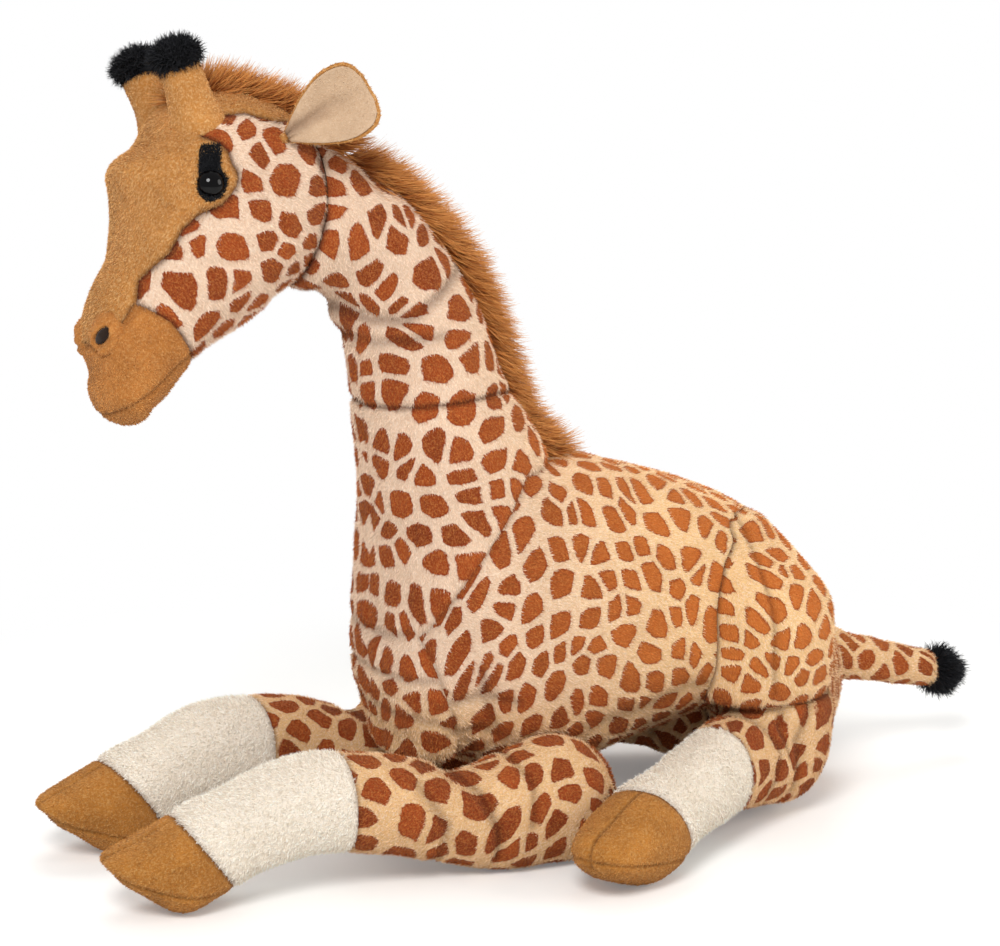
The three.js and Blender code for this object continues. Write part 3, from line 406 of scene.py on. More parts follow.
def sewIn(points, normals, seams):
    moved, places = points.copy(), points[:, [0, 2]]
    for seam in seams:
        away = lineDistance(places, seam["line"])
        near = away < seam["half"] * 2.2
        if not near.any():
            continue
        share = away[near] / seam["half"]
        if seam.get("soft"):
            depth = np.exp(-2.2 * share**2)
            ends = np.array([seam["line"][0], seam["line"][-1]], float)
            toEnd = np.linalg.norm(places[near][:, None] - ends, axis=2).min(1)
            depth *= np.clip(toEnd / endFade, 0, 1)
        else:
            depth = np.clip(1 - share, 0, 1) ** 1.4
            pucker = wander(points[near], 7, 3.1)
            depth += puckering * pucker * np.clip(1.9 - share, 0, 1) * np.clip(share * 2, 0, 1)
        moved[near] -= normals[near] * (depth * seam["depth"])[:, None]
    return moved


def push(points, normals, amount):
    return points + normals * amount[:, None]


def lumpy(points, normals, *layers):
    # uneven stuffing, each layer with a size, an amount and a seed
    for size, amount, seed in layers:
        points = push(points, normals, wander(points, size, seed) * amount)
    return points


def curtain(line, corners, reach=400):
    # all on one side of a seam line, through the whole width
    outline = np.array(list(line) + list(corners), float)
    count = len(outline)
    points = np.concatenate([
        np.insert(outline, 1, -reach, axis=1), np.insert(outline, 1, reach, axis=1)])
    x, z = outline[:, 0], outline[:, 1]
    area = (x * np.roll(z, -1) - np.roll(x, -1) * z).sum()
    faces = [list(range(count)), list(range(2 * count - 1, count - 1, -1))]
    faces += [[(i + 1) % count, i, i + count, (i + 1) % count + count] for i in range(count)]
    return points, [f[::-1] for f in faces] if area < 0 else faces


def slab(point, direction, reach=900):
    # all that lies past a plane
    direction = unit(direction)
    helper = np.array([0, 0, 1.0]) if abs(direction[2]) < 0.9 else np.array([1.0, 0, 0])
    across = unit(np.cross(direction, helper))
    other = np.cross(direction, across)
    corners = [(0, -1, -1), (0, 1, -1), (0, 1, 1), (0, -1, 1), (1, -1, -1), (1, 1, -1), (1, 1, 1), (1, -1, 1)]
    points = np.array([point + reach * (c[0] * direction + c[1] * across + c[2] * other) for c in corners])
    faces = [[0, 1, 2, 3], [7, 6, 5, 4], [0, 4, 5, 1], [1, 5, 6, 2], [2, 6, 7, 3], [3, 7, 4, 0]]
    normal = np.cross(points[1] - points[0], points[2] - points[0])
    return points, [f[::-1] for f in faces] if normal @ (points[0] - points.mean(0)) < 0 else faces


# Materials

def newMaterial(name, inputs):
    material = bpy.data.materials.new(name)
    material.use_nodes = True
    tree = material.node_tree
    tree.nodes.clear()
    shader = addNode(tree, "ShaderNodeBsdfPrincipled", inputs=inputs)
    addNode(tree, "ShaderNodeOutputMaterial", inputs={"Surface": shader.outputs["BSDF"]})
    return material, tree, shader


def attribute(tree, name, output="Fac"):
    return addNode(tree, "ShaderNodeAttribute", {"attribute_name": name}).outputs[output]


def objectPlace(tree):
    return addNode(tree, "ShaderNodeTexCoord").outputs["Object"]


def noiseOf(tree, place, scale, detail, output="Fac", **more):
    return addNode(tree, "ShaderNodeTexNoise", inputs={
        "Vector": place, "Scale": scale, "Detail": detail, **more}).outputs[output]


def calc(tree, operation, *values, **settings):
    return addNode(tree, "ShaderNodeMath", {"operation": operation, **settings},
                   dict(enumerate(values))).outputs["Value"]


def vectorCalc(tree, operation, *values, output="Vector", **inputs):
    return addNode(tree, "ShaderNodeVectorMath", {"operation": operation},
                   {**dict(enumerate(values)), **inputs}).outputs[output]


def spread(tree, value, fromLow, fromHigh, toLow=0.0, toHigh=1.0, smooth=True):
    kind = "SMOOTHSTEP" if smooth else "LINEAR"
    return addNode(tree, "ShaderNodeMapRange", {"interpolation_type": kind}, {
        "Value": value, "From Min": fromLow, "From Max": fromHigh, "To Min": toLow,
        "To Max": toHigh}).outputs["Result"]


def mixed(tree, share, first, second, **settings):
    return addNode(tree, "ShaderNodeMix", {"data_type": "RGBA", **settings}, {
        "Factor": share, "A": first, "B": second}).outputs["Result"]


def relief(tree, height, strength, depth):
    return addNode(tree, "ShaderNodeBump", inputs={
        "Strength": strength, "Distance": depth, "Height": height}).outputs["Normal"]


paintedSeamShadeTint = linear("#5F3419")


def napLooks(tree, looks, base, frost):
    # short nap: soft drifts of tone, frosted fibre ends, paler blade tips, and painted shade in the seams,
    # creases and hidden walls
    place = objectPlace(tree)
    drift = addNode(tree, "ShaderNodeValToRGB", inputs={
        "Fac": noiseOf(tree, place, 1000 / looks["drift"], 3.0, Roughness=0.6)})
    low, high = drift.color_ramp.elements
    low.position, low.color = 0.32, (0.72, 0.68, 0.64, 1)
    high.position, high.color = 0.68, (1, 1, 1, 1)
    toned = mixed(tree, looks["driftShare"], base, drift.outputs["Color"], blend_type="MULTIPLY")
    fibre = noiseOf(tree, place, 1000 / looks["fibre"], 2.0, Roughness=0.7)
    frosted = mixed(tree, spread(tree, fibre, 0.42, 0.8, 0.0, looks["frostShare"]), toned, frost)
    tip, strand = attribute(tree, "tip"), attribute(tree, "strand")
    own = calc(tree, "MULTIPLY_ADD", strand, looks["tipShare"] * 1.5, looks["tipShare"] * 0.25)
    tipped = mixed(tree, calc(tree, "MULTIPLY", tip, own), frosted, frost)
    # painted shade: the seam attribute darkens the colour towards a shadow brown in seams, creases and the
    # hidden walls of cuts
    sunk = calc(tree, "MULTIPLY", attribute(tree, "seam"), looks["seamShadeShare"])
    shaded = mixed(tree, sunk, tipped, paintedSeamShadeTint, blend_type="MULTIPLY")
    # roots lie in shade, and strands differ
    gain = calc(tree, "MULTIPLY_ADD", strand, 0.22, calc(tree, "MULTIPLY_ADD", tip, 0.2, 0.85))
    return {"Base Color": mixed(tree, 1.0, shaded, gain, blend_type="MULTIPLY", clamp_result=True),
            "Normal": relief(tree, fibre, looks["bump"], looks["fibre"] / 1000)}


plushSurface = {
    "Roughness": 0.86, "Specular IOR Level": 0.2, "Sheen Weight": 0.16, "Sheen Roughness": 0.5,
    "Sheen Tint": linear("#F6D9B4"),
}
napDefaults = {"drift": 34.0, "fibre": 1.9, "bump": 0.45}


def plainPlush(name, looks):
    material, tree, shader = newMaterial(name, plushSurface)
    base = addNode(tree, "ShaderNodeRGB").outputs["Color"]
    base.default_value = linear(looks["colour"])
    setInputs(tree, shader, napLooks(tree, {**napDefaults, **looks}, base, linear(looks["frost"])))
    return material


printLooks = {
    "ground": "#EBCDB2", "groundPaintedLight": "#F7CD8E", "groundLow": "#EBC088", "patch": "#A84A1A",
    "dark": "#85330E", "patchPaintedLight": "#D27630", "rim": "#8C2F0A", "gap": 0.075, "soft": 0.06,
    "corner": 0.24, "fray": 0.024, "drift": 60.0, "driftShare": 0.4, "fibre": 1.5,
    "frostGround": "#FCEEE0", "frostPatch": "#E0954F", "frostShare": 0.6, "tipShare": 0.3,
    "bump": 0.6, "seamShadeShare": 0.8,
}


def printedPlush():
    # short polyester plush, pile printed on a peach ground: patches like a giraffe's coat with
    # crisp but fibrous edges, a darker rim where the ink pools, and pale fibre ends showing
    material, tree, shader = newMaterial("shortPilePlushPrinted", plushSurface)
    looks, tone = printLooks, {k: linear(v) for k, v in printLooks.items() if isinstance(v, str)}
    cloth, place = attribute(tree, "cloth", "Vector"), objectPlace(tree)
    shifted = cloth
    for source, reach in ((noiseOf(tree, place, 13.0, 1.0, "Color"), 1.5),
                          (noiseOf(tree, cloth, 2.6, 3.0, "Color", Roughness=0.62), 0.16)):
        centred = vectorCalc(tree, "SUBTRACT", source, (0.5, 0.5, 0.5))
        shifted = vectorCalc(tree, "MULTIPLY_ADD", centred, (reach, reach, 0.0), shifted)
    cells = {"Vector": shifted, "Scale": 1.0, "Randomness": 0.78}
    gap, patch = (addNode(tree, "ShaderNodeTexVoronoi", {
        "voronoi_dimensions": "2D", "feature": kind}, cells).outputs for kind in ("DISTANCE_TO_EDGE", "F1"))
    # corners far from a patch's middle are rounded off, and the edge frays into the pile
    outer = spread(tree, patch["Distance"], 0.34, 0.8, 0.0, looks["corner"], False)
    trimmed = calc(tree, "SUBTRACT", gap["Distance"], outer)
    fibres = noiseOf(tree, place, 700.0, 2.0, Roughness=0.7)
    fray = spread(tree, fibres, 0.3, 0.7, -looks["fray"], looks["fray"], False)
    inPatch = spread(tree, calc(tree, "ADD", trimmed, fray), looks["gap"], looks["gap"] + looks["soft"])
    inside = spread(tree, trimmed, looks["gap"] + 0.02, looks["gap"] + 0.16)
    shade = addNode(tree, "ShaderNodeSeparateColor", inputs={"Color": patch["Color"]}).outputs["Red"]
    ink = mixed(tree, shade, tone["patch"], tone["dark"])
    # painted warm light on the flank: the pinkish neck warms to a golden glow towards the flank; low down on
    # the legs the ground turns golden
    where = addNode(tree, "ShaderNodeSeparateXYZ", inputs={"Vector": place}).outputs
    flank = spread(tree, where["X"], -0.14, 0.1, 0.0, 0.88)
    low = spread(tree, where["Z"], 0.07, 0.15, 1.0, 0.0)
    ground = mixed(tree, calc(tree, "MAXIMUM", flank, low), tone["ground"], tone["groundPaintedLight"])
    ground = mixed(tree, low, ground, tone["groundLow"])
    # painted warm light on the flank's patches, not on the legs
    lit = calc(tree, "SUBTRACT", flank, low, use_clamp=True)
    rimmed = mixed(tree, inside, tone["rim"], mixed(tree, lit, ink, tone["patchPaintedLight"]))
    setInputs(tree, shader, napLooks(
        tree, looks, mixed(tree, inPatch, ground, rimmed),
        mixed(tree, inPatch, tone["frostGround"], tone["frostPatch"])))
    return material


def longFur(name, looks):
    # long-pile fur: each strand runs from a dark root to a paler tip, and strands differ; the dark roots are
    # partly the fur's own colour and partly painted shade deep in the fur
    material, tree, shader = newMaterial(name, {
        "Roughness": looks["roughness"], "Specular IOR Level": looks["gloss"], "Sheen Weight": looks["sheen"]})
    along = calc(tree, "MULTIPLY_ADD", attribute(tree, "strand"), 0.35, attribute(tree, "tip"))
    ramp = addNode(tree, "ShaderNodeValToRGB", inputs={"Fac": along})
    stops = ramp.color_ramp.elements
    stops[0].position, stops[0].color = 0.05, linear(looks["root"])
    stops[1].position, stops[1].color = 1.0, linear(looks["tip"])
    stops.new(0.6).color = linear(looks["middle"])
    setInputs(tree, shader, {"Base Color": ramp.outputs["Color"]})
    return material


def eyeAcrylic():
    # moulded black acrylic: almost mirror smooth, one clean highlight, faint wear in the gloss
    material, tree, shader = newMaterial("mouldedAcrylicBlack", {
        "Base Color": linear("#040304"), "IOR": 1.49, "Specular IOR Level": 0.22})
    wear = noiseOf(tree, objectPlace(tree), 260.0, 4.0)
    setInputs(tree, shader, {"Roughness": spread(tree, wear, 0.0, 1.0, 0.03, 0.11, False)})
    return material


def grained(name, surfaceInputs, colours, noiseInputs, strength, depth):
    # two tones and a fine relief from one noise
    material, tree, shader = newMaterial(name, surfaceInputs)
    grain = addNode(tree, "ShaderNodeTexNoise", inputs={
        "Vector": objectPlace(tree), **noiseInputs}).outputs["Fac"]
    tone = mixed(tree, grain, linear(colours[0]), linear(colours[1]))
    setInputs(tree, shader, {"Base Color": tone, "Normal": relief(tree, grain, strength, depth)})
    return material


felt = {"Roughness": 0.95, "Specular IOR Level": 0.15, "Sheen Weight": 0.15}
feltTangle = {"Scale": 1400.0, "Detail": 4.0, "Roughness": 0.7, "Distortion": 1.2}
materials = {
    "print": printedPlush(),
    # short plain plush, dyed tan: the face, horns and ear backs, with a soft directional nap
    "tan": plainPlush("shortPilePlushTan", {
        "colour": "#C48643", "frost": "#F3CE95", "driftShare": 0.85, "frostShare": 0.5,
        "tipShare": 0.4, "seamShadeShare": 0.6}),
    # the same cloth in a redder tan, brushed flatter on the muzzle
    "muzzle": plainPlush("shortPilePlushMuzzle", {
        "colour": "#BE7A38", "frost": "#EAB778", "drift": 30.0, "driftShare": 1.0, "fibre": 1.7,
        "frostShare": 0.4, "tipShare": 0.34, "seamShadeShare": 0.45}),
    # the same cloth on the hooves, a little browner and more rubbed
    "hoof": plainPlush("shortPilePlushHoof", {
        "colour": "#BC7C33", "frost": "#EFC583", "drift": 26.0, "driftShare": 1.0,
        "frostShare": 0.35, "tipShare": 0.32, "seamShadeShare": 0.55}),
    # cream terry of the leg cuffs: knitted loops that read as soft grains
    "cuff": plainPlush("knittedTerryCream", {
        "colour": "#FCF0E0", "frost": "#FFFBF3", "driftShare": 0.2, "fibre": 2.4, "frostShare": 0.6,
        "tipShare": 0.6, "bump": 0.9, "seamShadeShare": 0.22}),
    # brushed tricot lining of the ears, smooth and pale
    "lining": plainPlush("brushedTricotCream", {
        "colour": "#CFAF8F", "frost": "#EAD4BC", "drift": 30.0, "driftShare": 0.75, "fibre": 1.3,
        "frostShare": 0.3, "tipShare": 0.18, "seamShadeShare": 0.9}),
    "mane": longFur("longPileFurBrown", {
        "root": "#6E3711", "middle": "#A85F22", "tip": "#D4934E", "roughness": 0.65,
        "gloss": 0.3, "sheen": 0.06}),
    "black": longFur("longPileFurBlack", {
        "root": "#030304", "middle": "#08090C", "tip": "#15161B", "roughness": 0.6,
        "gloss": 0.22, "sheen": 0.02}),
    "eye": eyeAcrylic(),
    # natural polypropylene, moulded: milky white with a faint orange-peel skin
    "washer": grained("mouldedPolypropylene", {"Roughness": 0.42, "IOR": 1.49},
                      ("#D9D9D3", "#EDEDE8"), {"Scale": 900.0, "Detail": 3.0}, 0.2, 0.0003),
    # pressed felt, matt with a tangle of paler fibres: black round the eye, dark brown in the nostril
    "lash": grained("pressedFeltBlack", felt, ("#060608", "#141519"), feltTangle, 0.6, 0.0004),
    "slot": grained("pressedFeltDark", felt, ("#170E0A", "#33241B"), feltTangle, 0.6, 0.0004),
}
print("materials made")


# Pile and fur: blades or strands set on a surface, combed one way

def strandTree(name, segments):
    tree = bpy.data.node_groups.new(name, "GeometryNodeTree")
    kinds = {"Geometry": "Geometry", "Comb": "Vector", "Seed": "Int", "Cloth": "Material"}
    for label in ("Geometry", "Density", "Length", "Width", "Lift", "Stray", "Bend", "Comb", "Seed", "Cloth"):
        tree.interface.new_socket(label, in_out="INPUT", socket_type="NodeSocket" + kinds.get(label, "Float"))
    tree.interface.new_socket("Geometry", in_out="OUTPUT", socket_type="NodeSocketGeometry")
    given = addNode(tree, "NodeGroupInput").outputs

    def put(kind, output, inputs=None, **settings):
        return addNode(tree, kind, settings, inputs).outputs[output]

    def chance(output, inputs, kind="FLOAT"):
        return put("FunctionNodeRandomValue", output, inputs, data_type=kind)

    def stored(geometry, label, value):
        return put("GeometryNodeStoreNamedAttribute", "Geometry", {
            "Geometry": geometry, "Name": label, "Value": value}, data_type="FLOAT", domain="POINT")

    outside = put("GeometryNodeInputNamedAttribute", "Attribute", {"Name": "outside"}, data_type="BOOLEAN")
    roots = addNode(tree, "GeometryNodeDistributePointsOnFaces", {"distribute_method": "RANDOM"}, {
        "Mesh": given["Geometry"], "Selection": outside, "Density": given["Density"],
        "Seed": given["Seed"]}).outputs
    marked = stored(roots["Points"], "strand", chance(1, {"Seed": given["Seed"]}))
    # lying along the comb on the surface, lifted off it, and strayed a little
    lying = vectorCalc(tree, "SUBTRACT", given["Comb"],
                       vectorCalc(tree, "PROJECT", given["Comb"], roots["Normal"]))
    combed = vectorCalc(tree, "ADD", lying, vectorCalc(tree, "SCALE", roots["Normal"], Scale=given["Lift"]))
    loose = chance(0, {0: (-1.0, -1.0, -1.0), 1: (1.0, 1.0, 1.0), "Seed": given["Seed"]}, "FLOAT_VECTOR")
    aim = vectorCalc(tree, "ADD", combed, vectorCalc(tree, "SCALE", loose, Scale=given["Stray"]))
    turned = put("FunctionNodeAlignRotationToVector", "Rotation", {"Vector": aim}, axis="Z")
    spin = put("ShaderNodeCombineXYZ", "Vector", {"Z": chance(1, {2: -math.pi, 3: math.pi, "Seed": 7})})
    facing = put("FunctionNodeRotateRotation", "Rotation", {
        "Rotation": turned, "Rotate By": put("FunctionNodeEulerToRotation", "Rotation", {"Euler": spin})},
        rotation_space="LOCAL")
    own = addNode(tree, "ShaderNodeSeparateXYZ", inputs={
        "Vector": put("GeometryNodeInputPosition", "Position")}).outputs
    if segments == 1:
        # one triangle for short pile
        leaf = put("GeometryNodeMeshCircle", "Mesh", {"Vertices": 3, "Radius": 1.0}, fill_type="NGON")
        share = spread(tree, own["X"], -0.5, 1.0, smooth=False)
        half = calc(tree, "MULTIPLY", own["Y"], 0.577)
    else:
        leaf = put("GeometryNodeMeshGrid", "Mesh", {
            "Size X": 1.0, "Size Y": 1.0, "Vertices X": 2, "Vertices Y": segments + 1})
        share = calc(tree, "ADD", own["Y"], 0.5)
        half = calc(tree, "MULTIPLY", own["X"], spread(tree, share, 0.25, 1.0, 1.0, 0.12, False))
    bent = calc(tree, "MULTIPLY", calc(tree, "POWER", share, 2.0), given["Bend"])
    place = put("ShaderNodeCombineXYZ", "Vector", {
        "X": calc(tree, "MULTIPLY", half, given["Width"]), "Y": bent,
        "Z": calc(tree, "MULTIPLY", share, given["Length"])})
    blade = put("GeometryNodeSetPosition", "Geometry", {
        "Geometry": stored(leaf, "tip", share), "Position": place})
    planted = put("GeometryNodeInstanceOnPoints", "Instances", {
        "Points": marked, "Instance": blade, "Rotation": facing,
        "Scale": chance(1, {2: 0.6, 3: 1.12, "Seed": 3})})
    clad = put("GeometryNodeSetMaterial", "Geometry", {
        "Geometry": put("GeometryNodeRealizeInstances", "Geometry", {"Geometry": planted}),
        "Material": given["Cloth"]})
    whole = addNode(tree, "GeometryNodeJoinGeometry", inputs={"Geometry": clad})
    tree.links.new(given["Geometry"], whole.inputs["Geometry"])
    addNode(tree, "NodeGroupOutput", inputs={"Geometry": whole.outputs["Geometry"]})
    return tree


pileTree, furTree = strandTree("pile", 1), strandTree("fur", 4)


def grow(obj, tree, settings):
    modifier = obj.modifiers.new("strands", "NODES")
    modifier.node_group = tree
    named = {item.name: item.identifier for item in tree.interface.items_tree if item.in_out == "INPUT"}
    for label, value in settings.items():
        modifier[named[label]] = value
    return settle(obj)


pile = {"Density": 620000.0, "Length": 0.0031, "Width": 0.00065, "Lift": 0.65, "Stray": 0.5, "Bend": 0.0}


def markOutside(obj, skinTree, closeness=0.6, floorZ=1.2):
    # faces on the outer cloth carry pile, the hidden walls of the cuts and the foot don't
    middles, normals = faceMiddles(obj), faceValues(obj, "normal")
    onSkin = np.zeros(len(middles), bool)
    for i, (middle, normal) in enumerate(zip(middles, normals)):
        _, skinNormal, _, away = skinTree.find_nearest(Vector(middle))
        onSkin[i] = away < closeness and skinNormal.dot(Vector(normal)) > 0.5
    store(obj, "outside", "BOOLEAN", "FACE", onSkin & (middles[:, 2] > floorZ))
    return onSkin


def seamShade(obj, onSkin, crease, rimShadeShare, reach=2.4):
    # painted shade: dark where the cloth turns in at the edge of a piece, on the hidden walls of its cuts and
    # down its creases
    mesh = obj.data
    corners = np.empty(len(mesh.loops), np.int32)
    mesh.loops.foreach_get("vertex_index", corners)
    sizes = np.empty(len(mesh.polygons), np.int32)
    mesh.polygons.foreach_get("loop_total", sizes)
    outer = np.zeros(len(mesh.vertices), bool)
    inner = outer.copy()
    outer[corners[np.repeat(onSkin, sizes)]] = True
    inner[corners[np.repeat(~onSkin, sizes)]] = True
    points = readPoints(obj)
    shade = np.where(outer, 0.0, 1.0)
    rim = np.flatnonzero(outer & inner)
    if len(rim):
        near = KDTree(len(rim))
        for slot, index in enumerate(rim):
            near.insert(points[index], slot)
        near.balance()
        away = np.array([near.find(p)[2] for p in points])
        share = rimShadeShare(points) if callable(rimShadeShare) else rimShadeShare
        shade = np.maximum(shade, np.exp(-(away / reach) ** 2) * share)
    if crease is not None:
        shade = np.maximum(shade, np.clip(crease(points), 0, 1))
    store(obj, "seam", "FLOAT", "POINT", shade.astype(np.float32))


def creaseShade(places, seams):
    # painted shade along each seam and crease line, darkest on the line
    shade = np.zeros(len(places))
    for seam in seams:
        away = lineDistance(places, seam["line"])
        wide, defaultShade = (seam["half"] * 0.5, 0.45) if seam.get("soft") else (1.9, 0.95)
        shade = np.maximum(shade, np.exp(-(away / wide) ** 2) * seam.get("dark", defaultShade))
    return shade


def treeOf(obj):
    mesh = obj.data
    mesh.calc_loop_triangles()
    tris = np.empty(len(mesh.loop_triangles) * 3, np.int32)
    mesh.loop_triangles.foreach_get("vertices", tris)
    return BVHTree.FromPolygons(readPoints(obj).tolist(), tris.reshape(-1, 3).tolist())


def sideCrease(seams):
    return lambda places: creaseShade(places[:, [0, 2]], seams)


def dress(obj, look, skinTree, grid=None, comb=(1.0, 0.0, -0.5), seed=1, turn=None, fur=None,
          crease=None, rimShadeShare=1.0):
    # cloth places, material and pile; turn takes the piece from its maker's place to its own
    obj.data.materials.clear()
    obj.data.materials.append(materials[look])
    if grid:
        flat = np.insert(clothPlaces(readPoints(obj), grid), 2, 0, axis=1)
        store(obj, "cloth", "FLOAT_VECTOR", "POINT", flat.astype(np.float32).ravel(), "vector")
    seamShade(obj, markOutside(obj, skinTree), crease, rimShadeShare)
    if turn is not None:
        writePoints(obj, turn(readPoints(obj)))
    grow(obj, pileTree, {**pile, **(fur or {}), "Comb": comb, "Seed": seed, "Cloth": materials[look]})
    obj.data.shade_smooth()


def furPiece(name, points, faces, look, fur, select=None, turn=None, strands=None):
    piece = makeObject(name, points, faces)
    outwardNormals(piece)
    piece.data.materials.append(materials[look])
    chosen = select(faceMiddles(piece)) if select else np.ones(len(piece.data.polygons), bool)
    store(piece, "outside", "BOOLEAN", "FACE", chosen)
    if turn is not None:
        writePoints(piece, turn(readPoints(piece)))
    return grow(piece, furTree, {**fur, "Cloth": materials[strands or look]})


def declare(obj, body, *nodes, slot=None, fill=None):
    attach(obj, body)
    if nodes:
        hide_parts(*nodes)


# Body and neck: one stuffed form whose skin is sewn from a body part and a neck part

torso = {
    "frontX": 4, "length": 386, "height": 290, "halfWidth": 104, "frontCap": 16, "rearCap": 13,
    "rows": [
        [0.000, 0.766, 0.372, 0.58], [0.070, 0.890, 0.250, 0.79], [0.190, 0.979, 0.160, 0.93],
        [0.340, 0.993, 0.160, 0.98], [0.490, 0.948, 0.225, 1.00], [0.640, 0.879, 0.262, 1.00],
        [0.720, 0.834, 0.235, 0.97], [0.790, 0.776, 0.080, 0.91], [0.840, 0.718, 0.000, 0.82],
        [0.885, 0.650, 0.000, 0.69], [0.920, 0.580, 0.042, 0.54], [0.960, 0.476, 0.118, 0.36]],
}
neck = {
    "footX": 0, "footZ": 80, "rise": 460, "reach": 100, "halfWidth": 84, "footCap": 20,
    "rows": [
        [-0.10, 0.010, 0.50, 0.000, 0.69], [-0.22, 0.098, 0.88, 0.083, 0.90],
        [-0.21, 0.217, 1.22, 0.207, 1.00], [-0.19, 0.348, 1.34, 0.359, 0.95],
        [-0.21, 0.478, 1.18, 0.478, 0.79], [-0.26, 0.576, 0.86, 0.591, 0.67],
        [-0.32, 0.654, 0.71, 0.678, 0.62], [-0.44, 0.706, 0.48, 0.778, 0.60],
        [-0.57, 0.748, 0.08, 0.887, 0.57], [-0.80, 0.763, -0.30, 0.948, 0.60],
        [-1.04, 0.774, -0.76, 1.011, 0.62]],
}
foreleg = {
    "elbowX": 88, "elbowY": 94, "elbowRadius": 46, "elbowHeight": 93, "length": 348, "inward": 25,
    "radius": 37, "tipCap": 24, "cuffStart": 168, "hoofStart": 284, "slant": 0.75, "slantZ": 56,
    "toeZ": 38, "toeTop": 0.72, "toeLow": 0.86, "toeSide": 0.28, "toeLift": 5, "soleZ": 17,
    "rows": [
        [0.020, 1.24, 1.20, 1.18], [0.130, 1.13, 1.12, 1.10], [0.210, 1.08, 0.97, 1.00],
        [0.310, 1.33, 0.97, 1.00], [0.420, 1.60, 0.96, 1.00], [0.520, 1.76, 0.95, 0.97],
        [0.620, 1.78, 0.95, 0.97], [0.720, 1.58, 0.93, 0.94], [0.820, 1.22, 0.95, 0.96],
        [0.910, 1.00, 1.00, 1.02], [1.000, 1.07, 0.76, 0.90]],
}
hindleg = {
    "hockX": 292, "hockY": 75, "hockRadius": 45, "hockFoot": 9, "hockTop": 98, "length": 266,
    "outward": 28.5, "radius": 37, "tipCap": 25, "cuffStart": 84, "hoofStart": 180, "slant": 0.5,
    "slantZ": 40, "toeZ": 34, "toeTop": 0.42, "toeLow": 0.5, "toeSide": 0.16, "toeLift": 2,
    "soleZ": 19,
    "rows": [
        [0.037, 1.45, 1.08, 1.05], [0.170, 1.49, 1.02, 0.95], [0.310, 1.50, 0.92, 0.86],
        [0.500, 1.36, 0.83, 0.83], [0.650, 1.18, 0.80, 0.82], [0.750, 1.03, 0.92, 0.92],
        [0.870, 0.96, 0.96, 0.94], [1.000, 0.93, 0.75, 0.82]],
}
thigh = {
    "frontX": 216, "length": 124, "height": 165, "halfThickness": 63, "inset": 66, "topCap": 16,
    "rows": [
        [0.500, 0.930, 0.000, 0.880], [0.490, 1.030, 0.250, 0.950], [0.440, 1.030, 0.560, 0.980],
        [0.370, 0.860, 0.740, 0.840], [0.340, 0.620, 0.880, 0.640]],
}
tail = {
    "rootX": 388, "rootZ": 98, "length": 100, "drop": 26, "rootRadius": 22, "tipRadius": 15.5,
    "tuft": (21, 18, 20),
}
nod = {"pivot": np.array([-135.0, 0, 495.0]), "radius": 80, "capRadius": 46, "collarX": -110, "roll": 9}
fit = 0.6                   # clearance between pieces that turn on each other

shoulderSeam = [(torso["frontX"] + x * torso["length"], z * torso["height"]) for x, z in [
    (0.390, 1.150), (0.340, 1.000), (0.200, 0.985), (0.120, 0.850), (0.030, 0.690), (-0.020, 0.590),
    (0.010, 0.470), (0.060, 0.300), (0.085, 0.150), (0.095, -0.100)]]
rearCorners = [(900, -900), (900, 900)]
# painted shade: the dark values set how much shade is painted along each seam and crease
bodySeams = [
    {"line": shoulderSeam, "half": 7, "depth": 3.0, "dark": 0.3},
    {"line": [(-78, 326), (-59, 331), (-33, 339), (27, 344), (62, 347), (100, 342)], "half": 5, "depth": 3.6},
    {"line": [(-70, 428), (-55, 418), (-29, 406), (-9, 405), (15, 421), (44, 440)], "half": 9, "depth": 4.6,
     "soft": True, "dark": 0.6},
    {"line": [(-66, 400), (-25, 389), (18, 394)], "half": 8, "depth": 2.4, "soft": True},
    {"line": [(-60, 150), (-34, 160), (-8, 174)], "half": 7, "depth": 3.0, "soft": True},
    {"line": [(-52, 128), (-24, 138), (4, 140)], "half": 6, "depth": 2.4, "soft": True},
    {"line": [(8, 120), (36, 128), (62, 122)], "half": 8, "depth": 2.8, "soft": True},
    {"line": [(15, 96), (40, 100), (60, 92)], "half": 7, "depth": 2.4, "soft": True},
    {"line": [(34, 150), (40, 122), (52, 98)], "half": 6, "depth": 2.6, "soft": True},
    {"line": [(-20, 112), (10, 104), (40, 84)], "half": 6, "depth": 2.4, "soft": True},
    {"line": [(120, 92), (160, 100), (215, 120)], "half": 12, "depth": 2.8, "soft": True, "dark": 0.3},
]


def neckPlace(x, z):
    return neck["footX"] + x * neck["reach"], neck["footZ"] + z * neck["rise"]


def sideRows(rows, place, halfWidth):
    # sections from the two edges of a form's outline
    made = []
    for ax, az, bx, bz, wide in rows:
        (topX, topZ), (lowX, lowZ) = place(ax, az), place(bx, bz)
        made.append([topX, 0, topZ, lowX, 0, lowZ, wide * halfWidth])
    return made


def torsoRows():
    rows = []
    for along, top, low, wide in torso["rows"]:
        x = torso["frontX"] + along * torso["length"]
        rows.append([x, 0, top * torso["height"], x, 0, low * torso["height"] - 0.5,
                     wide * torso["halfWidth"]])
    return rows


def elbowBall(side, extra):
    half = foreleg["elbowHeight"] / 2
    radius = foreleg["elbowRadius"] + extra
    return ellipsoid([foreleg["elbowX"], side * foreleg["elbowY"], half],
                     [radius, radius, half + 0.5 + extra], 72)


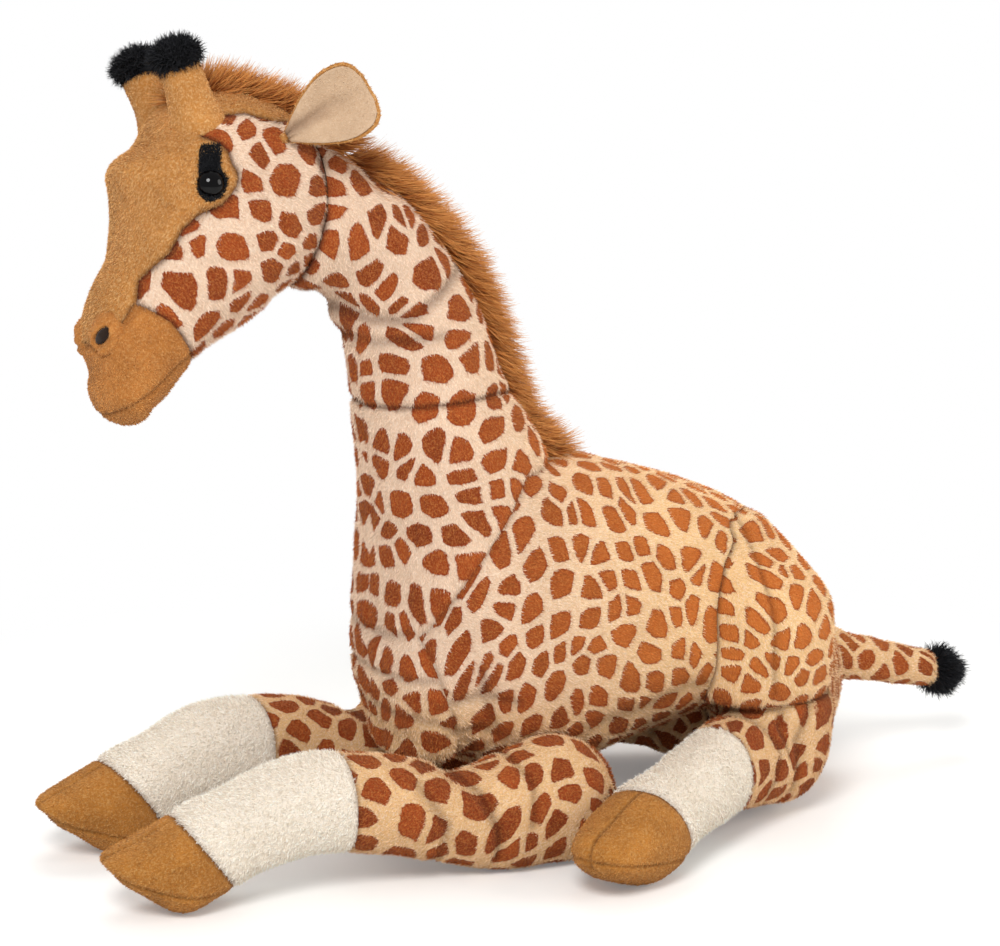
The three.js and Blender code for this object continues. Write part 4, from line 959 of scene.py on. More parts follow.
def hockPuck(side, extra):
    radius, foot, top = hindleg["hockRadius"] + extra, hindleg["hockFoot"] - extra, hindleg["hockTop"] + extra
    curve, rise = radius * 0.8, (top - foot) * 0.72
    profile = [(0, foot)]
    for turn in np.linspace(0, math.pi / 2, 9):
        profile.append((radius - curve + curve * math.sin(turn), foot + rise - rise * math.cos(turn)))
    points, faces = lathe(profile + [(radius, top), (0, top)], 72)
    return points + [hindleg["hockX"], side * hindleg["hockY"], 0], faces


def tailBall(extra):
    radius = tail["rootRadius"] + extra
    return ellipsoid([tail["rootX"], 0, tail["rootZ"]], [radius] * 3, 48)


def rimInward(points, normals, centre, radii, half, depth):
    # cloth turns in at the rim of a joint's pocket
    away = np.abs(np.linalg.norm((points - centre) / radii, axis=1) - 1) * np.mean(radii)
    return points - normals * (np.clip(1 - away / half, 0, 1) ** 1.4 * depth)[:, None]


def collarFold(points, depth, roll):
    # cloth turns in where the ball of the head meets the neck, with a soft roll beside it
    away = np.abs(np.linalg.norm(points - nod["pivot"], axis=1) - nod["radius"])
    fold = np.clip(1 - away / 6, 0, 1) ** 1.4 * depth - np.exp(-((away - 10) / 4.5) ** 2) * roll
    return fold * (points[:, 0] > nod["collarX"])


torsoForm = loft(torsoRows(), sideways, torso["frontCap"], torso["rearCap"])
neckForm = loft(sideRows(neck["rows"], neckPlace, neck["halfWidth"]), sideways, neck["footCap"], 0)
body = fused(joined("body", [(f["points"], f["faces"]) for f in (torsoForm, neckForm)]), 2.1, 24)
points, normals = surface(body)
points = lumpy(points, normals, (62, 1.3, 4.0), (24, 0.5, 9.0))
points = sewIn(points, normals, bodySeams)
spine = (np.abs(points[:, 1]) < 7) & (normals[:, 2] > 0.2) & (points[:, 0] > 90)
points[spine] -= normals[spine] * (1.3 * (1 - np.abs(points[spine, 1]) / 7))[:, None]
for side in (-1, 1):
    half = foreleg["elbowHeight"] / 2
    radii = np.array([foreleg["elbowRadius"], foreleg["elbowRadius"], half])
    points = rimInward(points, normals, [foreleg["elbowX"], side * foreleg["elbowY"], half], radii, 8, 2.2)
points = rimInward(points, normals, [tail["rootX"], 0, tail["rootZ"]], [tail["rootRadius"]] * 3, 6, 1.5)
points -= normals * (collarFold(points, 3.0, 1.5) * (points[:, 2] > 400))[:, None]
ahead = np.clip((-normals[:, 0] - 0.35) / 0.5, 0, 1) * np.clip((400 - points[:, 2]) / 40, 0, 1)
ahead *= points[:, 0] < 20
gathers = wander(points * [1.0, 1.0, 0.16], 8, 12.0)
points += normals * (ahead * gathers * 1.3 - ahead * np.clip(1 - np.abs(points[:, 1]) / 4, 0, 1) * 2.4)[:, None]
points[:, 2] = np.maximum(points[:, 2], 0.3)
writePoints(body, points)
bodyTree = treeOf(body)
bodyTool = duplicate(body, "bodyTool")
writePoints(bodyTool, points + normals * 0.6)
print("body formed", len(points), "points")

rear = curtain(shoulderSeam, rearCorners)
neckPiece = cutForm(duplicate(body, "neckPlush"), rear)
torsoPiece = cutForm(body, rear, "INTERSECT")
torsoPiece.name = "torsoPlush"
for piece in (torsoPiece, neckPiece):
    for side in (-1, 1):
        cutForm(piece, elbowBall(side, fit))
        cutForm(piece, hockPuck(side, fit))
    cutForm(piece, tailBall(fit))
cutForm(neckPiece, ellipsoid(nod["pivot"], [nod["radius"] + fit] * 3, 120))
cutForm(neckPiece, slab([nod["collarX"] + fit, 0, 0.0], [-1, 0, 0]))
# painted shade along the body's seams and creases, lighter at the shoulder's cut edge
dress(torsoPiece, "print", bodyTree, clothGrid(torsoForm, (19.5, 25.0), "unrolled"), (1.0, 0.0, -0.45), 11,
      crease=sideCrease(bodySeams), rimShadeShare=0.4)
# painted shade along the neck's seams, darkest where its cloth turns in round the head
dress(neckPiece, "print", bodyTree, clothGrid(neckForm, 24.0, "flank"), (0.25, 0.0, -1.0), 12,
      crease=sideCrease(bodySeams), rimShadeShare=lambda places: np.where(places[:, 0] < -70, 1.0, 0.4))
declare(torsoPiece, "body", "torso_skin", "body_filling", slot="print_plush", fill=0.9)
declare(neckPiece, "body", "neck_skin", slot="print_plush", fill=0.9)
print("torso and neck sewn")


# Thighs: stuffed pads sewn on the flanks above the folded hind legs

# the dark values set the painted shade in the fold over the thigh's top and down its seam
thighSeams = [
    {"line": [(214, 206), (219, 228), (232, 243), (256, 248), (286, 240)], "half": 6, "depth": 5.0,
     "soft": True, "dark": 0.8},
    {"line": [(262, 246), (256, 200), (258, 150), (262, 112)], "half": 5, "depth": 2.4, "soft": True},
]


def thighForm(side):
    rows = []
    for along, out, high, size in thigh["rows"]:
        middle = thigh["frontX"] + along * thigh["length"]
        half = size * thigh["length"] / 2
        y = side * thigh["inset"] * out
        z = hindleg["hockTop"] - thigh["topCap"] + high * thigh["height"]
        rows.append([middle - half, y, z, middle + half, y, z, size * thigh["halfThickness"]])
    return loft(rows, sideways, 0, thigh["topCap"], 110, 2.6)


for side, word in ((-1, "left"), (1, "right")):
    form = thighForm(side)
    piece = fused(makeObject(f"thighPlush_{word}", form["points"], form["faces"]), 1.9, 11)
    points, normals = surface(piece)
    points = sewIn(lumpy(points, normals, (40, 1.2, 2.0 + side)), normals, thighSeams)
    foot = np.clip(1 - (points[:, 2] - hindleg["hockTop"]) / 12, 0, 1) ** 1.6
    points[:, :2] -= normals[:, :2] * (foot * 4.5)[:, None]
    writePoints(piece, points)
    skinTree = treeOf(piece)
    cut(piece, bodyTool)
    cutForm(piece, slab([0, 0, hindleg["hockTop"] + 0.4], [0, 0, -1]))
    grid = clothGrid(form, 21.5, "unrolled", 0.0 if side > 0 else 0.5)
    # painted shade where the thigh's cloth turns in and in its fold
    dress(piece, "print", skinTree, grid, (0.6, 0.0, -1.0), 21 + side, crease=sideCrease(thighSeams),
          rimShadeShare=0.9)
    declare(piece, "body", f"thigh_{word}", slot="print_plush", fill=0.8)
print("thighs sewn")


# Legs: stuffed tubes from a round joint to a cloven hoof, in print, cuff and hoof pieces

# painted shade: a dark value sets how much shade is painted in a crease
foreCreases = [
    {"line": [(92, 84), (70, 66), (60, 40), (58, 16)], "half": 7, "depth": 4.4, "soft": True, "dark": 0.6},
    {"line": [(44, 94), (30, 70), (34, 40)], "half": 6, "depth": 2.8, "soft": True},
    {"line": [(118, 78), (100, 48), (102, 18)], "half": 8, "depth": 2.4, "soft": True},
]
hindCreases = [
    {"line": [(14, 94), (26, 70), (20, 30)], "half": 8, "depth": 3.0, "soft": True},
    {"line": [(56, 90), (46, 66), (54, 36)], "half": 7, "depth": 2.8, "soft": True},
    {"line": [(34, 92), (40, 78), (36, 60)], "half": 5, "depth": 2.0, "soft": True},
]


def legFrame(size, side):
    if size is foreleg:
        origin = np.array([size["elbowX"], side * size["elbowY"], 0.0])
        along = np.array([-size["length"], -side * size["inward"], 0.0])
    else:
        origin = np.array([size["hockX"], side * size["hockY"], 0.0])
        turn = math.radians(size["outward"])
        along = np.array([-math.cos(turn), side * math.sin(turn), 0.0])
    along /= np.linalg.norm(along)
    return origin, along, np.cross(along, [0, 0, 1.0])


def legForm(size, side, startCap):
    origin, along, across = legFrame(size, side)
    length = size["length"] - size["tipCap"]
    rows = []
    for share, high, thick, wide in size["rows"]:
        foot = origin + along * share * length
        rows.append(list(foot + [0, 0, (high + thick) * size["radius"]])
                    + list(foot + [0, 0, (high - thick) * size["radius"] - 0.5])
                    + [wide * size["radius"]])
    return loft(rows, across, startCap, size["tipCap"], 110, 2.6)


def pressIn(obj, ball):
    # the body pushes in on a limb everywhere but at its own round joint
    neighbour = cutForm(duplicate(bodyTool, "neighbour"), ball)
    cut(obj, neighbour)
    discard(neighbour)


cuffPile = {"Lift": 1.0, "Length": 0.0034, "Stray": 0.9, "Width": 0.0008, "Density": 700000.0}


def makeLeg(size, side, word, kind, joint, creases, pitch, seed):
    origin, along, across = legFrame(size, side)

    def own(points):
        # place along the leg with height, and distance to its side
        return np.stack([(points - origin) @ along, points[:, 2]], 1), (points - origin) @ across

    def outer(points):
        return points[:, 1] * side > origin[1] * side - 30

    def slanted(places):
        # the hoof's edge slants forward over the top
        return places[:, 0] - size["slant"] * (places[:, 1] - size["slantZ"]) - size["hoofStart"]

    def hoofSeams(points, normals, fine=2.6, soleShare=1.0):
        # a seam over the top to the toe, and one where the sole joins
        places, beside = own(points)
        reach = np.clip((places[:, 0] - size["hoofStart"]) / (size["length"] - size["hoofStart"]), 0, 1)
        ridge = np.clip(1 - np.abs(beside) / fine, 0, 1) * (points[:, 2] > size["toeZ"] - 6)
        soleZ = size["soleZ"] + (size["toeZ"] - size["soleZ"]) * reach ** 1.4
        sole = np.clip(1 - np.abs(points[:, 2] - soleZ) / fine, 0, 1) * (np.abs(normals[:, 2]) < 0.92)
        return np.maximum(ridge ** 1.2, sole ** 1.2 * soleShare) * np.clip(slanted(places) / 5, 0, 1)

    form = legForm(size, side, 0)
    blob = fused(joined("leg", [(form["points"], form["faces"]), joint(side, 0)]), 1.9, 14)
    points, normals = surface(blob)
    points = lumpy(points, normals, (36, 1.1, seed), (15, 0.35, seed + 3))
    places, beside = own(points)
    onOuter = outer(points)
    for crease in creases:
        fade = np.exp(-2.2 * (lineDistance(places, crease["line"]) / crease["half"]) ** 2) * onOuter
        points = push(points, normals, -fade * crease["depth"])
    # the hoof narrows to a low toe whose tip turns up, and its sole rises to meet it
    span = size["length"] - size["hoofStart"] + 8
    reach = np.clip((places[:, 0] - size["hoofStart"] + 8) / span, 0, 1.04)
    high = points[:, 2] - size["toeZ"]
    pinch = np.where(high > 0, size["toeTop"] * reach ** 1.15, size["toeLow"] * reach ** 2.3)
    points[:, 2] = size["toeZ"] + high * (1 - pinch)
    points[:, 2] += size["toeLift"] * np.clip((reach - 0.7) / 0.3, 0, 1.1) ** 2
    points -= across * (beside * size["toeSide"] * reach ** 2.2)[:, None]
    places, _ = own(points)
    for away, half, depth in ((np.abs(places[:, 0] - size["cuffStart"]), 4.5, 1.5),
                              (np.abs(slanted(places)), 4.5, 2.4)):
        points = push(points, normals, np.clip(1 - away / half, 0, 1) ** 1.3 * -depth)
    points = push(points, normals, hoofSeams(points, normals) * -2.0)
    if size is hindleg:
        top = np.clip(1 - (size["hockTop"] - points[:, 2]) / 12, 0, 1) ** 1.6 * (places[:, 0] < 60)
        points[:, :2] -= normals[:, :2] * (top * 4.0)[:, None]
    points[:, 2] = np.maximum(points[:, 2], 0.3)
    writePoints(blob, points)
    skinTree = treeOf(blob)
    pressIn(blob, joint(side, 0.1))
    if size is hindleg:
        cutForm(blob, slab([0, 0, size["hockTop"] - 0.4], [0, 0, 1]))
    grid = clothGrid(legForm(size, side, 44), pitch, "unrolled")
    fromCuff = slab(origin + along * size["cuffStart"], along)
    fromHoof = slab(origin + along * size["hoofStart"] + [0, 0, size["slantZ"]], along - [0, 0, size["slant"]])
    printed = cutForm(duplicate(blob, f"{kind}legPlush_{word}"), fromCuff)
    hoof = cutForm(duplicate(blob, f"{kind}legHoof_{word}"), fromHoof, "INTERSECT")
    cuff = cutForm(cutForm(blob, fromCuff, "INTERSECT"), fromHoof)
    cuff.name = f"{kind}legCuff_{word}"
    comb = tuple(along + [0, 0, -0.3])
    # painted shade in the leg's creases and where its cloth turns in at the cuff
    dress(printed, "print", skinTree, grid, comb, seed, rimShadeShare=0.6,
          crease=lambda points: creaseShade(own(points)[0], creases) * outer(points))
    dress(cuff, "cuff", skinTree, None, comb, seed + 1, fur=cuffPile)
    # painted shade in the hoof's seams over the toe and at the sole
    dress(hoof, "hoof", skinTree, None, comb, seed + 2, fur={"Length": 0.0019},
          crease=lambda points: hoofSeams(points, points * 0 + across, 2.0, 0.55) * 0.85)
    limb = f"{word}_{kind}leg"
    declare(printed, limb, f"{kind}leg_{word}", f"{kind}leg_filling_{word}", slot="print_plush", fill=0.85)
    declare(cuff, limb, f"{kind}leg_cuff_{word}", slot="cuff_terry", fill=0.85)
    declare(hoof, limb, f"{kind}_hoof_{word}", slot="hoof_plush", fill=0.9)


for side, word in ((-1, "left"), (1, "right")):
    makeLeg(foreleg, side, word, "fore", elbowBall, foreCreases, 25.0, 31 + side)
    makeLeg(hindleg, side, word, "hind", hockPuck, hindCreases, 23.0, 41 + side)
print("legs sewn")


# Tail: a thin stuffed tube on a ball root, ending in a fluffy tuft

tuftFur = {"Density": 1900000.0, "Length": 0.0115, "Width": 0.0009, "Lift": 0.45, "Stray": 0.5,
           "Bend": 0.004, "Comb": (1.0, 0.0, -0.35), "Seed": 5}


def makeTail():
    start = np.array([tail["rootX"], 0, tail["rootZ"]], float)
    end = start + [tail["length"], 0, -tail["drop"]]
    rows = []
    for share in (0, 0.1, 0.3, 0.65, 1):
        radius = tail["rootRadius"] + (tail["tipRadius"] - tail["rootRadius"]) * math.sqrt(share)
        spot = start + (end - start) * share
        rows.append(list(spot + [0, 0, radius]) + list(spot - [0, 0, radius]) + [radius * 0.95])
    form = loft(rows, sideways, 0, 6, 72, 2.4)
    tube = fused(joined("tailPlush", [(form["points"], form["faces"]), tailBall(0)]), 1.5, 8)
    points, normals = surface(tube)
    points = lumpy(points, normals, (20, 0.9, 6.0))
    under = (np.abs(points[:, 1]) < 3) & (normals[:, 2] < -0.3)
    points[under] -= normals[under] * 0.8
    writePoints(tube, points)
    skinTree = treeOf(tube)
    pressIn(tube, tailBall(0.1))
    dress(tube, "print", skinTree, clothGrid(form, 21.0, "unrolled"), (1.0, 0.0, -0.3), 51)
    declare(tube, "tail", "tail_tube", slot="print_plush", fill=0.7)
    # the tuft narrows to the back
    reach = tail["length"] + tail["tuft"][0] * 0.7
    centre = start + [reach, 0, -tail["drop"] * reach / tail["length"]]
    points, faces = ellipsoid(centre, np.array(tail["tuft"]) * 0.76, 36)
    behind = np.clip((points[:, 0] - centre[0]) / tail["tuft"][0], 0, 1)
    points[:, 1:] = centre[1:] + (points[:, 1:] - centre[1:]) * (1 - 0.7 * behind)[:, None]
    declare(furPiece("tailTuftFur", points, faces, "black", tuftFur), "tail", "tail_tuft", slot="black_fur")


makeTail()
print("tail made")


# Head: panels of tan and printed plush over a stuffed form that ends in a ball in the neck

head = {
    "backX": -70, "backZ": 550, "reach": 160, "drop": 170, "halfWidth": 67, "noseCap": 18,
    "rows": [
        [0.00, -0.01, 0.02, 0.65, 0.78], [0.19, -0.09, 0.18, 0.74, 0.90], [0.40, -0.13, 0.31, 0.82, 0.98],
        [0.63, -0.07, 0.41, 0.87, 1.00], [0.84, 0.11, 0.50, 0.91, 0.92], [0.89, 0.32, 0.57, 0.95, 0.79],
        [0.91, 0.51, 0.63, 1.01, 0.68], [1.00, 0.66, 0.69, 1.07, 0.61], [1.08, 0.85, 0.74, 1.12, 0.57],
        [1.08, 1.00, 0.81, 1.17, 0.50]],
    "profile": [(-196, 546, 17, -9.5), (-213, 521, 10, 4.0), (-213, 488, 18, -4.5), (-244, 380, 20, -6.5),
                (-222, 338, 18, 1.0)],
}


def onHeadSide(x, z):
    return (head["backX"] - x * head["reach"], head["backZ"] - z * head["drop"])


faceSeam = [onHeadSide(*p) for p in [
    (-0.100, 0.010), (0.210, 0.024), (0.350, -0.018), (0.490, -0.010), (0.560, 0.034), (0.578, 0.072),
    (0.512, 0.104), (0.480, 0.140), (0.470, 0.190), (0.452, 0.226), (0.456, 0.256), (0.475, 0.286),
    (0.503, 0.320), (0.545, 0.352), (0.638, 0.387), (0.713, 0.439), (0.764, 0.532),
    (0.875, 0.635), (0.900, 0.740), (0.950, 0.800), (1.075, 0.900)]]
muzzleSeam = [onHeadSide(*p) for p in [
    (1.188, 0.899), (1.075, 0.881), (0.981, 0.829), (0.950, 0.788), (0.900, 0.724), (0.763, 0.812),
    (0.650, 0.945), (0.540, 1.060)]]
mouthSeam = [onHeadSide(*p) for p in [
    (0.550, 0.870), (0.638, 0.942), (0.725, 0.994), (0.850, 1.093), (0.975, 1.156), (1.030, 1.180),
    (1.250, 1.250)]]
frontCorners = [(-900, 0), (-900, 900), (0, 900)]
lowCorners = [(0, -900), (-900, -900)]
eye = {
    "x": -162, "z": 505, "radius": 9.5, "bulge": 7,
    # the black plush round and above the eye: height, front edge, back edge
    "lash": [(-12.7, -4.5, -0.5), (-11, -6.8, 4.0), (-8, -8.8, 7.6), (-3, -10.0, 10.1), (2, -9.3, 11.7),
             (6, -7.9, 9.3), (11.5, -7.3, 7.2), (18, -6.4, 8.2), (23, -5.8, 9.0), (27, -4.0, 8.6)],
}
nostril = {"x": -236, "z": 406, "ring": 12.8, "height": 5.2, "slot": 8.0, "lean": 38}
horn = {
    "x": -160, "y": 34, "length": 36, "aim": (-12, 5, 36),
    "profile": [(0, -16), (22, -16), (23, -4), (21, 0), (17.6, 5), (15.2, 11), (13.8, 19), (14.2, 28),
                (14, 34), (0, 36)],
}
ear = {
    "x": -104, "z": 532, "length": 70, "halfWidth": 27, "cup": 12, "rootRadius": 6.5, "rise": 27,
    "sweepOut": 20, "tilt": 18, "stem": 2,
}
headSeams = [
    {"line": faceSeam, "half": 5, "depth": 2.2},
    {"line": muzzleSeam, "half": 5, "depth": 2.2},
    {"line": mouthSeam, "half": 3.2, "depth": 1.3},
    {"line": [(-118, 517), (-124, 500), (-122, 482)], "half": 5, "depth": 1.8, "soft": True},
    {"line": [(-180, 452), (-150, 447), (-118, 452)], "half": 6, "depth": 1.6, "soft": True},
    {"line": [(-207, 516), (-196, 492), (-176, 482), (-154, 488), (-144, 506)], "half": 5, "depth": 2.6,
     "soft": True},
    {"line": [(-196, 508), (-188, 496), (-178, 492)], "half": 4, "depth": 1.4, "soft": True},
]


def cocked(points):
    # the head is cocked a little to its right about the centre of its seat
    turn = np.array(Matrix.Rotation(-math.radians(nod["roll"]), 3, "X"))
    return (points - nod["pivot"]) @ turn.T + nod["pivot"]


headForm = loft(sideRows(head["rows"], onHeadSide, head["halfWidth"]), sideways, 0, head["noseCap"], 168, 1.7)
headBlob = makeObject("headBlob", headForm["points"], headForm["faces"])
smoothTree = treeOf(headBlob)


def seatOn(tree, origin, direction):
    hit, normal, _, _ = tree.ray_cast(Vector(origin), Vector(direction))
    return np.array(hit), np.array(normal if normal.dot(Vector(direction)) < 0 else -normal)


def sideFrame(tree, x, z, side):
    origin, out = seatOn(tree, (x, side * 400, z), (0, -side, 0))
    high = np.array([0, 0, 1.0]) - out * out[2]
    high /= np.linalg.norm(high)
    return origin, np.cross(high, out), high, out


points, normals = surface(headBlob)
points = sewIn(lumpy(points, normals, (42, 0.9, 1.0), (16, 0.3, 5.0)), normals, headSeams)
for side in (-1, 1):
    # socket, brow and the folded lid round each eye, and the raised nostril
    origin, along, high, out = sideFrame(smoothTree, eye["x"], eye["z"], side)
    a, b = (points - origin) @ along, (points - origin) @ high
    away = np.hypot(a, b)
    socket = np.exp(-(away / 17) ** 2) * 2.6
    lid = np.exp(-((away - 14.6) / 3.0) ** 2) * 3.6
    lid *= np.clip(0.5 - np.sin(np.arctan2(b, a * side) + 0.7) * 0.9, 0, 1.1)
    brow = np.exp(-((a / 22) ** 2 + ((b - 30) / 9) ** 2)) * 2.0
    points = push(points, normals, (brow + lid - socket) * (points[:, 1] * side > 0))
    origin, along, high, out = sideFrame(smoothTree, nostril["x"], nostril["z"], side)
    away = np.hypot((points - origin) @ along, (points - origin) @ high)
    points = push(points, normals, np.exp(-(away / 13) ** 2) * 1.2 * (points[:, 1] * side > 0))
for x, z, wide, rise in head["profile"]:
    away = np.hypot(points[:, 0] - x, points[:, 2] - z) / wide
    middle = np.exp(-(np.abs(points[:, 1]) / 50) ** 4)
    points = push(points, normals, np.exp(-away ** 2) * middle * rise)
points = push(points, normals, -collarFold(points, 2.4, 1.6))
writePoints(headBlob, points)
skinTree = treeOf(headBlob)
# a cap gives the ball a round back inside the collar
within, edge = nod["radius"] - 0.3, nod["capRadius"]
profile = [(0, 40), (edge, 40)] + [(within * math.sin(a), within * math.cos(a))
                                   for a in np.linspace(math.asin(edge / within), 0, 16)]
points, faces = lathe(profile, 96)
cutForm(headBlob, (points[:, [2, 0, 1]] + nod["pivot"], faces), "UNION")
seat = makeObject("seat", *ellipsoid(nod["pivot"], [nod["radius"]] * 3, 120))
cutForm(seat, slab([nod["collarX"], 0, 0.0], [-1, 0, 0]), "UNION")
cut(headBlob, seat, "INTERSECT")
discard(seat)

faceTool = curtain(faceSeam, frontCorners)
muzzleTool = curtain(muzzleSeam, lowCorners)
jawTool = curtain(mouthSeam, lowCorners[::-1])
cheeks = cutForm(cutForm(duplicate(headBlob, "cheekPlush"), faceTool), muzzleTool)
face = cutForm(cutForm(duplicate(headBlob, "facePlush"), faceTool, "INTERSECT"), muzzleTool)
muzzle = cutForm(cutForm(duplicate(headBlob, "muzzlePlush"), muzzleTool, "INTERSECT"), jawTool)
jaw = cutForm(cutForm(headBlob, muzzleTool, "INTERSECT"), jawTool, "INTERSECT")
jaw.name = "jawPlush"
headGrid = clothGrid(headForm, 22.5, "flank")
# each piece gets painted shade where its cloth turns in, darkest on the cheeks and face
for piece, node, look, slot, grid, comb, seed, fur, rimShadeShare in (
        (cheeks, "cheek_skin", "print", "print_plush", headGrid, (0.6, 0.0, -0.8), 61, None, 1.0),
        (face, "face_panel", "tan", "tan_plush", None, (-0.4, 0.0, -1.0), 62,
         {"Length": 0.0024, "Density": 800000.0}, 1.0),
        (muzzle, "muzzle_skin", "muzzle", "muzzle_plush", None, (0.5, 0.0, -0.8), 63, {"Length": 0.0018}, 0.65),
        (jaw, "jaw_skin", "muzzle", "muzzle_plush", None, (0.7, 0.0, -0.3), 64, {"Length": 0.0018}, 0.5)):
    dress(piece, look, skinTree, grid, comb, seed, cocked, fur, rimShadeShare=rimShadeShare)
    nodes = (node, "head_filling") if piece is cheeks else (node,)
    declare(piece, "head", *nodes, slot=slot, fill=0.95)
print("head sewn")


# Eyes, lashes and nostrils

lashFur = {"Density": 1500000.0, "Length": 0.0024, "Width": 0.0007, "Lift": 0.7, "Stray": 0.6,
           "Bend": 0.001, "Comb": (0.2, 0.0, 0.9), "Seed": 9}


def makeEye(side, word):
    axes = origin, along, high, out = sideFrame(skinTree, eye["x"], eye["z"], side)
    radius, bulge = eye["radius"], eye["bulge"]
    profile = [(0, -15), (2.5, -15), (2.5, -1.6), (radius * 0.97, -1.6), (radius, -1.0), (radius, 0.0)]
    profile += [(radius * math.cos(t), bulge * math.sin(t))
                for t in np.linspace(0, math.pi / 2, 14)[1:-1]] + [(0, bulge)]
    points, faces = lathe(profile, 72)
    piece = makeObject(f"eyeDome_{word}", cocked(placeOn(points, axes)), faces)
    piece.data.materials.append(materials["eye"])
    declare(piece, "head", f"eye_{word}", slot="eye_gloss")

    # lash: a strip of black plush standing up from the eye, its pile ragged along both edges
    heights, fronts, backs = np.array(eye["lash"]).T

    def onFace(layer, share, wide):
        # it lies on the face, thin round the eye and fuller above it
        z = heights[0] + share * (heights[-1] - heights[0])
        front, back = np.interp(z, heights, fronts), np.interp(z, heights, backs)
        start = origin + along * (front + (back - front) * wide) * -side + high * z
        hit, _ = seatOn(skinTree, start + out * 30, -out)
        bow = math.sqrt(max(0, 1 - (wide * 2 - 1)**4)) * math.sin(math.pi * min(share + 0.1, 1))
        swell = 0.9 + 1.6 * min(max((z - 6) / 10, 0), 1)
        return start + out * ((hit - start) @ out + (0.4 + swell * bow if layer else -0.8))

    points, faces = sheet(34, 16, onFace)
    piece = furPiece(f"lashStrip_{word}", cocked(points), faces, "lash", lashFur, strands="black")
    declare(piece, "head", f"eye_lash_{word}", slot="lash_felt")


def makeNostril(side, word):
    origin, along, high, out = sideFrame(skinTree, nostril["x"], nostril["z"], side)
    lean = -side * math.radians(nostril["lean"])
    axes = (origin, along * math.cos(lean) + high * math.sin(lean),
            high * math.cos(lean) - along * math.sin(lean), out)

    def following(own):
        # the roll follows the curve of the muzzle
        placed = placeOn(own, axes)
        for i, spot in enumerate(placed):
            start = spot - out * own[i, 2]
            hit = skinTree.ray_cast(Vector(start + out * 30), Vector(-out))[0]
            if hit is not None:
                placed[i] = spot + out * ((np.array(hit) - start) @ out)
        return cocked(placed)

    ring, height, slot = nostril["ring"], nostril["height"], nostril["slot"]
    outline = rounded([(slot * 0.9, -4), (ring * 1.12, -4), (ring * 1.1, -0.5), (ring * 0.96, height * 0.62),
                       (ring * 0.8, height * 0.95), (slot + 0.9, height * 0.72), (slot * 0.92, 0.2),
                       (slot * 0.9, -4)], 2)[:-1]
    # the roll is nearly round, the opening in it narrow
    around = 72
    turn = 2 * np.pi * np.arange(around) / around
    rings = np.array([np.stack([np.cos(turn) * r, np.sin(turn) * r * (0.94 - 0.4 * max(0, 1 - (r - slot) / 6)),
                                turn * 0 + h], 1) for r, h in outline])
    corner = np.arange(len(outline) * around).reshape(len(outline), around)
    after, beside = np.roll(corner, -1, 0), np.roll(corner, -1, 1)
    faces = np.stack([corner, beside, np.roll(after, -1, 1), after], 2).reshape(-1, 4).tolist()
    piece = makeObject(f"nostrilRoll_{word}", following(rings.reshape(-1, 3)), faces)
    outwardNormals(piece)
    store(piece, "outside", "BOOLEAN", "FACE", np.ones(len(faces), bool))
    piece.data.materials.append(materials["muzzle"])
    grow(piece, pileTree, {**pile, "Length": 0.0013, "Comb": (0.5, 0, -0.8), "Seed": 71 + side,
                           "Cloth": materials["muzzle"]})
    declare(piece, "head", f"nostril_ring_{word}", slot="muzzle_plush")
    points, faces = lathe(rounded([(0, -3), (slot, -3), (slot, 2.4), (slot * 0.5, 3.2), (0, 3.3)], 1), 48,
                          (1, 0.46))
    piece = makeObject(f"nostrilSlot_{word}", following(points), faces)
    outwardNormals(piece)
    piece.data.materials.append(materials["slot"])
    declare(piece, "head", f"nostril_slot_{word}", slot="nostril_dark")


hornFur = {"Density": 1900000.0, "Length": 0.0070, "Width": 0.0008, "Lift": 0.8, "Stray": 0.95,
           "Bend": 0.004, "Comb": (0.0, 0.0, 0.0)}


def makeHorn(side, word):
    origin, _ = seatOn(smoothTree, (horn["x"], side * horn["y"], 900), (0, 0, -1))
    out = unit([horn["aim"][0], side * horn["aim"][1], horn["aim"][2]])
    along = unit(np.cross([0, 1.0, 0], out))
    across = np.cross(out, along)
    points, faces = lathe(rounded(horn["profile"], 2), 72)
    points[:, :2] *= 1 + 0.05 * wander(points, 13, 2.0 + side)[:, None]
    # the foot of the horn spreads onto the crown, following its surface
    placed = placeOn(points, (origin, along, across, out))
    for i, own in enumerate(points):
        share = np.clip((14 - own[2]) / 14, 0, 1) ** 1.5
        if share > 0:
            start = origin + along * own[0] + across * own[1]
            hit = skinTree.ray_cast(Vector(start + out * 60), Vector(-out))[0]
            if hit is not None:
                height = (np.array(hit) - start) @ out
                sunk = -0.8 - 4 * np.clip((np.hypot(own[0], own[1]) - 17) / 6, 0, 1)
                low = height + sunk if own[2] > -8 else -16
                placed[i] = start + out * (own[2] * (1 - share) + low * share)
    piece = makeObject(f"hornPlush_{word}", placed, faces)
    outwardNormals(piece)
    dress(piece, "tan", treeOf(piece), None, (0, 0, -1.0), 81 + side, cocked, {"Length": 0.0017})
    declare(piece, "head", f"horn_{word}", slot="tan_plush", fill=0.9)
    points, faces = ellipsoid([0, 0, horn["length"] + 4.5], [15.5, 15.5, 9.5], 36)
    piece = furPiece(f"hornTuftFur_{word}", cocked(placeOn(points, (origin, along, across, out))), faces,
                     "black", {**hornFur, "Seed": 91 + side})
    declare(piece, "head", f"horn_tuft_{word}", slot="black_fur")


# Ears: a cupped leaf of plush with a paler lining, gathered onto a small round root

